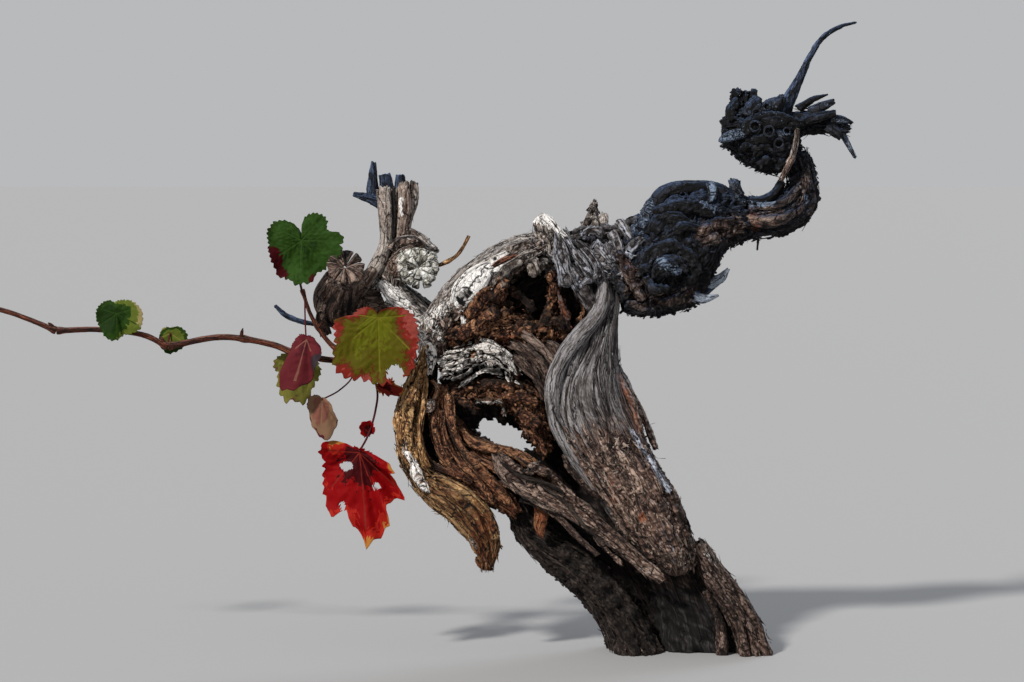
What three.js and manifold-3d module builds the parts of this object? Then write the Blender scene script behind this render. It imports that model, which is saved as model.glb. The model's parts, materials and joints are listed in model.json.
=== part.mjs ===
// A very old, hollow, bush-trained grapevine in autumn, built life size with three.js.
// Units are millimetres and +Z is up. X runs to the right and Y away from someone facing the hollow side.
// The origin lies in the flat ground-level cut under the trunk.
// The sound wood runs up the right side. The rotted half arches over to the left and hangs down in straps.
// Two old arms leave the crown: one bent to the right with a burl on it, one short and upright at the left.

import * as THREE from "three";
import { mergeVertices } from "three/addons/utils/BufferGeometryUtils.js";
import Module from "manifold-3d";

const wasm = await Module();
wasm.setup();

// Driving dimensions.
const CLEARANCE = 0.3; // between neighbouring pieces of wood
const SLIVER = 0.04; // slivers left by a cut are smoothed away within this distance
const BELOW_GROUND = 15; // how far a foot is drawn past the ground-level cut before it is trimmed
const GROUND_BOX = { side: 600, depth: 200 }; // what the cut takes away
const CROWN_HEIGHT = 395; // centre of the knot where the arms meet
const BURL_HEIGHT = 518; // centre of the burl on the right arm
const CANE_RADIUS = 3.1; // the one-year shoot
const STALK_RADIUS = 1.1; // leaf stalks
const BLADE_THICKNESS = 2.4; // leaf blades
const NOTCH = 0.25; // how deep a blade is cut in at its stalk, as a share of its half length
const HOLE = { x: -200, z: 218, halfLength: 31, halfHeight: 12, dip: 0.42, depth: 200 };

const WOOD = {
  heart: { color: 0x6b6560, roughness: 0.85 },
  old: { color: 0x5a463a, roughness: 0.92 },
  rotten: { color: 0x6d4229, roughness: 0.95 },
  bleached: { color: 0xb9b2a8, roughness: 0.9 },
  dark: { color: 0x2e2c2f, roughness: 0.88 },
  cut: { color: 0xa9a894, roughness: 0.9 },
  cane: { color: 0x7a3a22, roughness: 0.55 },
  twig: { color: 0x4a4a52, roughness: 0.8 },
};
const LEAF = {
  turning: { color: 0x7c7a24, roughness: 0.6 },
  red: { color: 0xb3121a, roughness: 0.6 },
  green: { color: 0x3f6b22, roughness: 0.6 },
  pink: { color: 0x7f2f38, roughness: 0.6 },
  yellow: { color: 0x8d9140, roughness: 0.6 },
  brown: { color: 0x9a6a58, roughness: 0.7 },
};

function material({ color, roughness }) {
  return new THREE.MeshStandardMaterial({ color, roughness, metalness: 0, flatShading: true });
}

// A closed solid for cutting and joining, swollen by grow along its surface normals.
function toSolid(geometry, grow = 0) {
  const bare = geometry.clone();
  bare.deleteAttribute("normal");
  bare.deleteAttribute("uv");
  const merged = mergeVertices(bare, 1e-4);
  merged.computeVertexNormals();
  const { position, normal } = merged.attributes;
  const point = new THREE.Vector3();
  const outward = new THREE.Vector3();
  for (let i = 0; i < position.count; i++) {
    outward.fromBufferAttribute(normal, i);
    point.fromBufferAttribute(position, i).addScaledVector(outward, grow);
    position.setXYZ(i, point.x, point.y, point.z);
  }
  return new wasm.Manifold(
    new wasm.Mesh({
      numProp: 3,
      vertProperties: new Float32Array(position.array),
      triVerts: new Uint32Array(merged.index.array),
    }),
  );
}

function toGeometry(solid) {
  const { vertProperties, triVerts } = solid.getMesh();
  const geometry = new THREE.BufferGeometry();
  geometry.setAttribute("position", new THREE.BufferAttribute(vertProperties, 3));
  geometry.setIndex(new THREE.BufferAttribute(triVerts, 1));
  geometry.computeVertexNormals();
  return geometry;
}

function largestBody(solid) {
  return solid.decompose().reduce((best, body) => (body.volume() > best.volume() ? body : best));
}

// The value at share t of a row of numbers, eased between its neighbours.
function along(values, t) {
  const place = t * (values.length - 1);
  const low = Math.min(Math.floor(place), values.length - 2);
  const share = place - low;
  const eased = share * share * (3 - 2 * share);
  return values[low] * (1 - eased) + values[low + 1] * eased;
}

function centreline(sections) {
  const centres = sections.map(([x, y, z]) => new THREE.Vector3(x, y, z));
  return new THREE.CatmullRomCurve3(centres, false, "centripetal");
}

// A tapering limb through cross-sections [x, y, z, half width, half depth].
// It is a cylinder bent along the curve through the centres, with each cross-section square to the curve
// or, when slice gives a direction, drawn out along that one. cup brings its two edges forward like a gutter,
// and reach draws both ends out further.
function limbGeometry(sections, shape, reach = 0) {
  const { sides = 7, steps = 5, uneven = 0.07, phase = 0, slice, cup = 0 } = shape;
  const curve = centreline(sections);
  const widths = sections.map((row) => row[3]);
  const depths = sections.map((row) => row[4] ?? row[3]);
  const geometry = new THREE.CylinderGeometry(1, 1, 1, sides, steps);
  const position = geometry.attributes.position;

  // One cross-section frame for each step, carried along the curve without twisting.
  const frames = [];
  let across = null;
  for (let step = 0; step <= steps; step++) {
    const t = step / steps;
    const tangent = curve.getTangent(t);
    if (slice) {
      across = new THREE.Vector3(...slice);
    } else {
      across ??= new THREE.Vector3().crossVectors(new THREE.Vector3(0, 1, 0), tangent);
      if (across.length() < 0.3) across.set(1, 0, 0);
      across.addScaledVector(tangent, -across.dot(tangent)).normalize();
    }
    const deep = new THREE.Vector3().crossVectors(across, tangent).normalize();
    const centre = curve.getPoint(t);
    if (step === 0) centre.addScaledVector(tangent, -reach);
    if (step === steps) centre.addScaledVector(tangent, reach);
    frames.push({ t, across: across.clone(), deep, centre });
  }

  const point = new THREE.Vector3();
  for (let i = 0; i < position.count; i++) {
    const step = Math.round((position.getY(i) + 0.5) * steps);
    const { t, across: side, deep, centre } = frames[step];
    const angle = Math.atan2(position.getZ(i), position.getX(i));
    const lobes = Math.sin(3 * angle + phase + 4 * t) + 0.6 * Math.sin(5 * angle - phase + 7 * t);
    const rough = 1 + uneven * lobes * 0.6;
    const width = position.getX(i) * along(widths, t) * rough;
    const depth = position.getZ(i) * along(depths, t) * rough + cup * position.getX(i) ** 2;
    point.copy(centre).addScaledVector(side, width).addScaledVector(deep, depth);
    position.setXYZ(i, point.x, point.y, point.z);
  }
  return geometry;
}

// A leaf blade: a flattened sphere drawn out into five lobes, notched at the stalk, folded along its midrib
// and curled along its length. tip is the way the blade hangs and face the way its upper side looks.
function bladeFrame({ centre, tip, face, length, fold = 0.2, curl = 0.1 }) {
  const forward = new THREE.Vector3(...tip).normalize();
  const up = new THREE.Vector3(...face);
  up.addScaledVector(forward, -up.dot(forward)).normalize();
  const right = new THREE.Vector3().crossVectors(forward, up);
  return (side, out, lift) => {
    const bend = lift + fold * Math.abs(side) - (curl * out * out) / length;
    const point = new THREE.Vector3(...centre);
    return point.addScaledVector(forward, out).addScaledVector(right, side).addScaledVector(up, bend);
  };
}

function bladeGeometry(blade) {
  const { length, width, lobed = 0.12 } = blade;
  const place = bladeFrame(blade);
  const geometry = new THREE.SphereGeometry(1, 20, 4);
  geometry.rotateX(Math.PI / 2);
  const position = geometry.attributes.position;
  for (let i = 0; i < position.count; i++) {
    const angle = Math.atan2(position.getX(i), position.getY(i));
    const reach = Math.hypot(position.getX(i), position.getY(i));
    const notch = NOTCH * Math.exp(-12 * (Math.PI - Math.abs(angle)) ** 2);
    const lobe = reach * (1 - lobed + lobed * Math.cos(5 * angle) - notch);
    const side = (Math.sin(angle) * lobe * width) / 2;
    const out = (Math.cos(angle) * lobe * length) / 2;
    const point = place(side, out, (position.getZ(i) * BLADE_THICKNESS) / 2);
    position.setXYZ(i, point.x, point.y, point.z);
  }
  return geometry;
}

// Everything already made, thickened by the clearance, is cut from the next piece.
const vine = new THREE.Group();
const made = [];
const centrelines = {};

// The middle of a limb already made, at share t of its length, where a lesser one grows from it.
function on(name, t) {
  return centrelines[name].getPoint(t).toArray();
}

function ground() {
  const { side, depth } = GROUND_BOX;
  return toSolid(new THREE.BoxGeometry(side, side, depth).translate(0, 0, -depth / 2));
}

function add(name, look, solid, thickened) {
  let free = solid;
  const box = thickened.boundingBox();
  for (const other of made) {
    const apart = [0, 1, 2].some((i) => other.box.min[i] > box.max[i] || other.box.max[i] < box.min[i]);
    if (!apart) free = free.subtract(other.thickened);
  }
  const mesh = new THREE.Mesh(toGeometry(largestBody(free).simplify(SLIVER)), material(look));
  mesh.name = name;
  vine.add(mesh);
  made.push({ thickened, box });
}

function limb(name, look, sections, shape = {}) {
  centrelines[name] = centreline(sections);
  const phase = made.length * 1.7;
  let solid = toSolid(limbGeometry(sections, { phase, ...shape }));
  let thickened = toSolid(limbGeometry(sections, { phase, ...shape }, CLEARANCE), CLEARANCE);
  if (sections.some(([, , z]) => z < 0)) solid = solid.subtract(ground());
  if (shape.hole) {
    solid = solid.subtract(shape.hole);
    thickened = thickened.subtract(shape.hole);
  }
  add(name, look, solid, thickened);
}

// The stalk runs through the given points and into the blade just inside its notch, or at joint,
// a share of the half length above the blade's centre.
function leaf(name, look, stalk, blade) {
  const { length, lobed, joint = 0.85 * (1 - NOTCH - 2 * lobed) } = blade;
  const end = bladeFrame(blade)(0, (-joint * length) / 2, 0).toArray();
  const sections = [...stalk, end].map((point) => [...point, STALK_RADIUS]);
  const stem = limbGeometry(sections, { sides: 5, steps: 4, uneven: 0 });
  const sheet = bladeGeometry(blade);
  const joined = (grow) => toSolid(sheet, grow).add(toSolid(stem, grow));
  add(name, look, joined(0), joined(CLEARANCE));
}

// The see-through hole in the wall of the hollow.
function holeInWall() {
  const { x, z, halfLength, halfHeight, dip, depth } = HOLE;
  const geometry = new THREE.CylinderGeometry(1, 1, depth, 12);
  geometry.scale(halfLength, 1, halfHeight).rotateY(dip).translate(x, 0, z);
  return toSolid(geometry);
}

function trunkPieces() {
  const foot = -BELOW_GROUND;
  const wallBase = [-112, 42, 118, 50, 20]; // where the back wall of the hollow widens above its foot
  limb(
    "trunk",
    WOOD.heart,
    [
      [6, 8, foot, 56, 52],
      [-1, 6, 25, 47, 46],
      [-13, 2, 65, 40, 42],
      [-30, -3, 105, 36, 40],
      [-58, -7, 147, 39, 42],
      [-82, -9, 187, 44, 43],
      [-106, -10, 228, 43, 42],
      [-114, -8, 272, 41, 38],
      [-106, -3, 315, 27, 29],
      [-97, 3, 350, 16, 24],
      [-92, 8, 385, 16, 22],
    ],
    { sides: 14, steps: 15, uneven: 0.05, slice: [1, 0, 0] },
  );
  limb("root_right", WOOD.old, [
    [62, -4, foot, 22, 23],
    [52, -6, 20, 17, 18],
    [34, -9, 54, 15, 16],
    [13, -13, 84, 13, 14],
    [-4, -18, 112, 8, 9],
  ]);
  limb("root_left", WOOD.old, [
    [-58, 14, foot, 30, 42],
    [-76, 15, 28, 23, 36],
    [-100, 17, 62, 22, 31],
    [-134, 18, 92, 21, 27],
    [-168, 17, 120, 17, 22],
    [-184, 15, 146, 10, 16],
  ]);
  limb("root_back", WOOD.old, [
    [-4, 62, foot, 36, 24],
    [-14, 56, 28, 27, 19],
    [-38, 50, 84, 22, 15],
    [-66, 46, 140, 18, 12],
  ]);
  limb(
    "hollow_foot",
    WOOD.old,
    [
      [-20, 44, foot, 46, 22],
      [-48, 44, 28, 42, 21],
      [-80, 42, 72, 38, 21],
      wallBase,
    ],
    { sides: 10, steps: 5, uneven: 0.05, slice: [1, 0, 0], cup: 18 },
  );
  limb(
    "hollow_wall",
    WOOD.old,
    [
      wallBase,
      [-146, 43, 170, 66, 18],
      [-170, 44, 222, 78, 18],
      [-178, 44, 272, 82, 20],
      [-170, 42, 322, 78, 24],
      [-140, 38, 366, 58, 27],
      [-112, 32, 400, 36, 26],
    ],
    { sides: 14, steps: 8, uneven: 0.05, hole: holeInWall(), slice: [1, 0, 0], cup: 22 },
  );
}

function crownPieces() {
  const crown = [-100, 10, CROWN_HEIGHT];
  limb(
    "crown",
    WOOD.dark,
    [
      [-160, 10, 408, 14, 22],
      [-134, 9, 402, 26, 32],
      [...crown, 31, 38],
      [-72, 12, CROWN_HEIGHT - 4, 35, 38],
    ],
    { sides: 10, steps: 5, uneven: 0.1 },
  );
  limb("crown_peak_left", WOOD.bleached, [
    [-148, -6, 408, 13, 12],
    [-154, -7, 426, 9, 9],
    [-158, -7, 442, 3, 3],
  ]);
  limb("crown_peak_right", WOOD.bleached, [
    [-110, 2, 420, 14, 14],
    [-108, 0, 440, 8, 8],
    [-106, -1, 455, 1.6, 1.6],
  ]);
  limb("crown_rib", WOOD.bleached, [
    [-150, -22, 412, 8, 7],
    [-134, -32, 394, 12, 8],
    [-114, -33, 370, 12, 8],
    [-100, -28, 344, 7, 6],
  ]);
}

function hollowPieces() {
  limb(
    "shoulder",
    WOOD.bleached,
    [
      [-152, 10, 414, 14, 30],
      [-195, 14, 392, 20, 44],
      [-234, 16, 362, 21, 50],
      [-260, 16, 326, 20, 46],
      [-268, 16, 298, 15, 32],
    ],
    { sides: 9, steps: 8 },
  );
  limb("rotten_upper", WOOD.rotten, [
    [-248, 0, 322, 14, 20],
    [-208, -2, 332, 25, 22],
    [-168, 0, 336, 27, 22],
    [-134, 4, 346, 16, 20],
  ]);
  limb("rotten_lower", WOOD.rotten, [
    [-252, 4, 262, 11, 16],
    [-222, 2, 270, 17, 18],
    [-184, 2, 264, 19, 20],
    [-160, 4, 236, 15, 20],
    [-148, 6, 204, 9, 16],
  ]);
  limb("bleached_arch", WOOD.bleached, [
    [-262, -12, 282, 6, 9],
    [-238, -20, 296, 9, 11],
    [-212, -22, 303, 10, 12],
    [-190, -20, 294, 8, 10],
    [-176, -16, 276, 5, 8],
  ]);
  limb("layered_plate", WOOD.old, [
    [-193, -18, 319, 6, 7],
    [-173, -24, 301, 14, 10],
    [-155, -24, 276, 15, 10],
    [-148, -18, 250, 7, 9],
  ]);
  limb("hole_lip", WOOD.rotten, [
    [-246, 6, 236, 10, 16],
    [-226, 4, 209, 12, 20],
    [-197, 2, 188, 13, 20],
    [-166, 2, 168, 13, 20],
    [-132, 4, 142, 12, 18],
  ]);
  limb("flake", WOOD.rotten, [
    [-161, -8, 160, 6, 5],
    [-159, -19, 136, 8, 4],
    [-158, -18, 122, 5, 3],
  ]);
}

function strapPieces() {
  const bend = [-286, -14, 178, 12, 15]; // where the outer strap turns back under the hollow
  limb("strap_upper", WOOD.rotten, [
    [-282, -22, 320, 4, 6],
    [-277, -16, 294, 9, 12],
    [-288, -12, 266, 11, 16],
    [-296, -14, 234, 13, 17],
    [-296, -14, 204, 12, 16],
    bend,
  ]);
  limb("strap_lower", WOOD.rotten, [
    bend,
    [-262, -14, 158, 13, 15],
    [-237, -14, 138, 15, 15],
    [-219, -13, 115, 15, 13],
    [-212, -12, 92, 10, 9],
    [-211, -12, 84, 5, 5],
  ]);
  limb("inner_strap", WOOD.rotten, [
    [-262, -6, 256, 10, 12],
    [-263, -9, 222, 12, 13],
    [-246, -11, 191, 13, 13],
    [-219, -12, 168, 14, 12],
    [-192, -11, 150, 12, 9],
    [-177, -9, 140, 7, 6],
  ]);
  limb("ribbon", WOOD.old, [
    [-204, -17, 199, 6, 6],
    [-187, -27, 175, 9, 7],
    [-146, -31, 156, 9, 7],
    [-106, -33, 129, 8, 6],
    [-70, -36, 99, 7, 6],
    [-38, -36, 75, 6, 6],
  ]);
}

function rightArmPieces() {
  const waist = [45, 22, 436, 22, 24]; // where the thick knotted part of the arm turns slender
  limb(
    "right_arm",
    WOOD.dark,
    [
      [-78, 14, 386, 46, 40],
      [-52, 16, 392, 58, 46],
      [-26, 17, 405, 68, 48],
      [-2, 18, 411, 65, 44],
      [10, 19, 423, 50, 38],
      [22, 20, 435, 35, 30],
      waist,
    ],
    { sides: 12, steps: 10, uneven: 0.05, slice: [0, 0, -1] },
  );
  limb(
    "right_elbow",
    WOOD.dark,
    [
      waist,
      [70, 24, 437, 22, 21],
      [92, 26, 444, 22, 20],
      [104, 27, 462, 19, 18],
      [101, 28, 482, 16, 16],
      [93, 28, 500, 15, 15],
    ],
    { sides: 9, steps: 8 },
  );
  limb(
    "burl",
    WOOD.dark,
    [
      [100, 28, BURL_HEIGHT + 1, 15, 15],
      [82, 28, BURL_HEIGHT - 3, 35, 30],
      [60, 28, BURL_HEIGHT, 33, 32],
      [40, 28, BURL_HEIGHT + 4, 25, 27],
      [23, 28, BURL_HEIGHT + 4, 13, 15],
    ],
    { sides: 11, steps: 7, uneven: 0.12 },
  );
  limb("burl_stub", WOOD.dark, [
    [45, 28, 540, 12, 12],
    [43, 28, 553, 10, 10],
    [43, 28, 564, 10, 10],
  ]);
  limb("burl_spur", WOOD.dark, [
    [86, 27, 530, 17, 15],
    [108, 24, 537, 16, 12],
    [128, 22, 535, 15, 10],
    [142, 20, 529, 10, 8],
    [153, 18, 526, 2.5, 3],
  ]);
  limb("curved_spur", WOOD.twig, [
    [82, 24, 538, 9, 9],
    [90, 23, 556, 7, 7],
    [98, 22, 572, 5, 5],
    [109, 23, 595, 3.4, 3.4],
    [121, 26, 614, 2.8, 2.8],
    [137, 28, 626, 2.2, 2.2],
    [157, 30, 632, 1.2, 1.2],
  ]);
  limb("hanging_spur", WOOD.twig, [
    [138, 18, 530, 4, 4],
    [147, 15, 512, 3, 3],
    [155, 13, 497, 2, 2],
  ]);
  limb("neck_twig", WOOD.old, [
    [96, 2, 524, 3, 3],
    [89, 4, 500, 3, 3],
    [82, 7, 478, 2.4, 2.4],
  ]);
  limb("arm_knob", WOOD.twig, [
    [36, 22, 455, 8, 8],
    [37, 22, 474, 6, 6],
  ]);
  limb("splinter_upper", WOOD.twig, [
    [4, 8, 368, 9, 9],
    [17, 2, 377, 5, 5],
    [28, -2, 385, 2.5, 2.5],
  ]);
  limb("splinter_lower", WOOD.twig, [
    [-10, -6, 360, 7, 7],
    [4, -10, 357, 4, 4],
    [17, -13, 360, 1.6, 1.6],
  ]);
}

function leftArmPieces() {
  const turn = [-314, 45, 354, 23, 22]; // where the left arm turns upright
  limb("left_arm", WOOD.bleached, [[-252, 38, 310, 17, 20], [-284, 44, 334, 21, 22], turn]);
  limb(
    "left_upright",
    WOOD.heart,
    [
      [-316, 45, 364, 21, 20],
      [-310, 46, 386, 17, 18],
      [-307, 46, 408, 16, 16],
      [-305, 46, 436, 17, 15],
      [-304, 46, 468, 20, 14],
    ],
    { steps: 8 },
  );
  limb("sawn_knob", WOOD.old, [
    [-322, 42, 346, 22, 22],
    [-346, 34, 343, 25, 25],
    [-363, 20, 352, 26, 26],
    [-358, 4, 371, 22, 22],
    [-355, -8, 384, 20, 20],
  ]);
  limb("cut_stub", WOOD.cut, [
    [-307, 42, 388, 14, 14],
    [-293, 28, 390, 17, 17],
    [-283, 12, 391, 17, 17],
  ]);
  limb("bark_chip", WOOD.cut, [
    [-302, 40, 426, 8, 8],
    [-288, 36, 415, 11, 8],
    [-275, 31, 409, 8, 6],
    [-262, 27, 402, 2, 3],
  ]);
  limb("tip_blue", WOOD.twig, [
    [-328, 46, 452, 7, 7],
    [-329, 46, 470, 6, 6],
    [-328, 46, 492, 2.5, 2.5],
  ]);
  limb("tip_side", WOOD.twig, [
    [-314, 44, 447, 8, 8],
    [-330, 42, 455, 5.5, 5.5],
    [-348, 41, 460, 2.5, 2.5],
  ]);
  limb("tip_middle", WOOD.twig, [
    [-314, 46, 462, 8, 8],
    [-317, 46, 480, 6, 6],
  ]);
  limb("tip_right", WOOD.twig, [
    [-301, 44, 462, 7, 7],
    [-301, 44, 479, 4.5, 4.5],
  ]);
  limb("dead_shoot", WOOD.cane, [
    [-279, 18, 388, 2, 2],
    [-262, 14, 389, 2, 2],
    [-246, 12, 397, 1.9, 1.9],
    [-238, 11, 406, 1.9, 1.9],
    [-231, 10, 419, 1.4, 1.4],
  ]);
}

// The long one-year shoot, one piece for each internode, thicker at the nodes and thinner towards its tip.
function canePieces() {
  const r = CANE_RADIUS;
  const start = [-298, 36, 330, r * 1.3];
  const first = [-403, -26, 303, r * 1.1];
  const second = [-528, -34, 311, r];
  const third = [-637, -40, 327, r * 0.95];
  const fourth = [-752, -44, 361, r * 0.8];
  const tip = [-842, -48, 385, r * 0.35];
  const shape = { sides: 6, steps: 6, uneven: 0 };
  limb("cane_1", WOOD.cane, [start, [-330, -2, 303, r], [-362, -16, 296, r], first], shape);
  limb("cane_2", WOOD.cane, [first, [-428, -27, 313, r], [-475, -30, 320, r], second], shape);
  limb("cane_3", WOOD.cane, [second, [-554, -36, 323, r * 0.9], [-596, -38, 328, r * 0.9], third], shape);
  limb("cane_4", WOOD.cane, [third, [-663, -42, 338, r * 0.8], [-692, -43, 348, r * 0.8], fourth], shape);
  limb("cane_5", WOOD.cane, [fourth, [-796, -46, 376, r * 0.6], tip], shape);
  limb("side_shoot", WOOD.cane, [
    [...on("cane_1", 0.5), 3],
    [-368, -11, 311, 2.5],
    [-387, -10, 338, 2.1],
    [-397, -9, 366, 1.7],
  ], shape);
  limb("dead_twig", WOOD.twig, [
    [-350, 30, 330, 3],
    [-385, 12, 330, 2.4],
    [-412, 6, 338, 3],
    [-425, 4, 349, 1.8],
  ], shape);
}

function leafPieces() {
  leaf(
    "leaf_large",
    LEAF.turning,
    [on("cane_1", 0.42), [-334, -14, 322]],
    {
      centre: [-325, -40, 314], tip: [0.08, -0.1, -1], face: [-0.1, -1, 0.1],
      length: 84, width: 86, fold: -0.08, curl: 0.1, lobed: 0.04,
    },
  );
  leaf(
    "leaf_red",
    LEAF.red,
    [on("cane_1", 0.3), [-321, -6, 272], [-324, -18, 244]],
    {
      centre: [-346, -26, 165], tip: [0.05, -0.05, -1], face: [-0.2, -1, 0.1],
      length: 108, width: 86, fold: -0.3, curl: -0.05, lobed: 0.12,
    },
  );
  leaf(
    "leaf_green",
    LEAF.green,
    [on("side_shoot", 0.97), [-403, -6, 385]],
    {
      centre: [-394, -14, 411], tip: [-0.1, -0.15, -1], face: [-0.1, -1, 0.15],
      length: 78, width: 80, joint: 0.1, fold: -0.15, curl: 0.1, lobed: 0.09,
    },
  );
  leaf(
    "leaf_pink",
    LEAF.pink,
    [on("side_shoot", 0.8), [-397, -20, 340]],
    {
      centre: [-396, -38, 291], tip: [-0.1, -0.1, -1], face: [-0.5, -1, 0.1],
      length: 58, width: 36, fold: -0.5, lobed: 0.08,
    },
  );
  leaf(
    "leaf_yellow",
    LEAF.yellow,
    [on("cane_1", 1), [-403, -14, 297]],
    {
      centre: [-401, -9, 272], tip: [0.05, 0.05, -1], face: [0.2, -1, 0.2],
      length: 48, width: 46, fold: -0.2, lobed: 0.1,
    },
  );
  leaf(
    "leaf_brown",
    LEAF.brown,
    [on("cane_1", 0.5), [-346, -14, 277], [-364, -19, 262]],
    {
      centre: [-382, -22, 235], tip: [0.15, -0.05, -1], face: [-0.4, -1, 0.1],
      length: 42, width: 30, fold: -0.4, lobed: 0.05,
    },
  );
  leaf(
    "leaf_withered",
    LEAF.brown,
    [on("cane_1", 0.2), [-316, -8, 288]],
    {
      centre: [-312, -30, 267], tip: [0.9, -0.1, -0.3], face: [-0.2, -1, 0.4],
      length: 30, width: 18, fold: -0.4, lobed: 0.1,
    },
  );
  leaf(
    "leaf_cane_inner",
    LEAF.green,
    [on("cane_2", 1), [-527, -28, 320]],
    {
      centre: [-522, -26, 319], tip: [-0.1, -0.1, -1], face: [0.1, -1, 0.2],
      length: 29, width: 34, joint: 0.2, fold: 0.15, lobed: 0.08,
    },
  );
  leaf(
    "leaf_cane_outer",
    LEAF.green,
    [on("cane_3", 0.6), [-585, -34, 342]],
    {
      centre: [-569, -46, 342], tip: [0, -0.2, -1], face: [0.05, -1, 0.1],
      length: 48, width: 56, joint: 0.3, fold: 0.2, lobed: 0.08,
    },
  );
  leaf(
    "leaf_cane_tip",
    LEAF.green,
    [on("cane_4", 1), [-753, -42, 372]],
    {
      centre: [-762, -54, 372], tip: [-0.3, -0.4, -0.8], face: [-0.1, -1, 0.5],
      length: 40, width: 42, fold: 0.2, lobed: 0.1,
    },
  );
}

trunkPieces();
crownPieces();
rightArmPieces();
hollowPieces();
strapPieces();
leftArmPieces();
canePieces();
leafPieces();

export default vine;
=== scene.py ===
import json
import math
import random

import bmesh
import bpy
import numpy as np
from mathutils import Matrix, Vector

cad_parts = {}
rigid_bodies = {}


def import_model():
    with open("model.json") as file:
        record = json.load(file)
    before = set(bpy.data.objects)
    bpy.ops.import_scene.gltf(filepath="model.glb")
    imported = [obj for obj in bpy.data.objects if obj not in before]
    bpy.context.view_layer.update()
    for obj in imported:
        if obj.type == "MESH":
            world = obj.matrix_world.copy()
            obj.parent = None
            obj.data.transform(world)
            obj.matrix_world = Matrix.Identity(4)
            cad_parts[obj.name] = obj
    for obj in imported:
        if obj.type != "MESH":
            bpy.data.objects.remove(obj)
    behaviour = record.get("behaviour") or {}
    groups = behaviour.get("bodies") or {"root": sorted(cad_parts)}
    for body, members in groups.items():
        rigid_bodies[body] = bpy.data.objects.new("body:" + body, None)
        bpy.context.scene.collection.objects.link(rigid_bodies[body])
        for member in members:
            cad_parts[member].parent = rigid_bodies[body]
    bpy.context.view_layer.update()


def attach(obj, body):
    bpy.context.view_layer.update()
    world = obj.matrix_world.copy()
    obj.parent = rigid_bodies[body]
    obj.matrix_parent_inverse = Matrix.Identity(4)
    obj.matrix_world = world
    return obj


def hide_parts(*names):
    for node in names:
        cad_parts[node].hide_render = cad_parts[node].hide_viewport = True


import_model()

mm = 0.001  # places and sizes below are in millimetres
dice = random.Random(11)
slopes = np.random.default_rng(5).normal(size=(256, 3))
slopes /= np.linalg.norm(slopes, axis=1)[:, None]


# smooth noise between about -1 and 1, one value for each row of places
def noiseAt(places, seed=0):
    cell = np.floor(places).astype(np.int64)
    part = places - cell
    ease = part ** 3 * (part * (part * 6 - 15) + 10)
    total = np.zeros(len(places))
    for corner in np.ndindex(2, 2, 2):
        key = (cell + corner) * (73856093, 19349663, 83492791)
        mixed = key[:, 0] ^ key[:, 1] ^ key[:, 2] ^ seed * 40503
        mixed ^= mixed >> 11
        slope = slopes[mixed * 2654435761 >> 16 & 255]
        share = np.where(corner, ease, 1 - ease).prod(axis=1)
        total += share * ((part - corner) * slope).sum(axis=1)
    return 1.7 * total


def smoothStep(value, low, high):
    share = np.clip((value - low) / (high - low), 0, 1)
    return share * share * (3 - 2 * share)


def unit(rows):
    return rows / np.maximum(np.linalg.norm(rows, axis=-1, keepdims=True), 1e-9)


# a smooth line through rows of numbers, read off at shares t of its length
def smoothLine(rows, t):
    rows = np.array(rows, float)
    padded = np.vstack([2 * rows[0] - rows[1], rows, 2 * rows[-1] - rows[-2]])
    place = np.clip(t, 0, 1) * (len(rows) - 1)
    low = np.minimum(place.astype(int), len(rows) - 2)
    s = (place - low)[:, None]
    a, b, c, d = (padded[low + k] for k in range(4))
    return b + 0.5 * s * (c - a + s * (2 * a - 5 * b + 4 * c - d + s * (3 * (b - c) + d - a)))


# the middle line of a limb with a cross-section frame at every sample
def limbPath(rows, flat=None, cup=0, samples=160):
    rows = [row if len(row) > 4 else (*row, row[3]) for row in rows]
    line = smoothLine(rows, np.linspace(0, 1, samples))
    centre = line[:, :3]
    tangent = unit(np.gradient(centre, axis=0))
    across = np.tile(np.array(flat if flat else (1.0, 0, 0), float), (samples, 1))
    if not flat:
        start = np.cross((0, 1, 0), tangent[0])
        side = start if np.linalg.norm(start) > 0.3 else np.array((1.0, 0, 0))
        for k in range(samples):
            side = unit(side - (side @ tangent[k]) * tangent[k])
            across[k] = side
    deep = unit(np.cross(across, tangent))
    return pathOf(centre, np.maximum(line[:, 3:5], 0.2), across, deep, cup)


def pathOf(centre, half, across, deep, cup=0):
    steps = np.linalg.norm(np.diff(centre, axis=0), axis=1)
    along = np.concatenate([[0], np.cumsum(steps)])
    lines = {"centre": centre, "half": half, "across": across, "deep": deep}
    lines["tangent"] = unit(np.gradient(centre, axis=0))
    mean = half.mean(axis=0)
    return {"along": along, "length": along[-1], "lines": lines, "cup": cup, "edge": 1, "mean": mean}


def pathAt(path, s):
    read = lambda rows: np.stack([np.interp(s, path["along"], column) for column in rows.T], 1)
    return {name: read(rows) for name, rows in path["lines"].items()}


# the skin of a limb at lengths s along it and angles round it, drawn in to its middle line where fill is 0
def skinAt(path, s, angle, fill=1.0):
    here = pathAt(path, s)
    c, s_ = (np.sign(turned) * np.abs(turned) ** path["edge"] for turned in (np.cos(angle), np.sin(angle)))
    x = c * here["half"][:, 0] * fill
    y = s_ * here["half"][:, 1] * fill + path["cup"] * (np.cos(angle) * fill) ** 2
    place = here["centre"] + here["across"] * x[:, None] + here["deep"] * y[:, None]
    return place, here


def getRows(mesh, name, layer="co", width=3):
    source = mesh.attributes[name].data if name else mesh.vertices
    rows = np.empty(len(source) * width)
    source.foreach_get(layer, rows)
    return rows.reshape(-1, width) if width > 1 else rows


def setRows(mesh, name, kind, rows):
    layer = mesh.attributes.get(name) or mesh.attributes.new(name, kind, "POINT")
    layer.data.foreach_set("vector" if kind == "FLOAT_VECTOR" else "value", rows.ravel())


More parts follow.
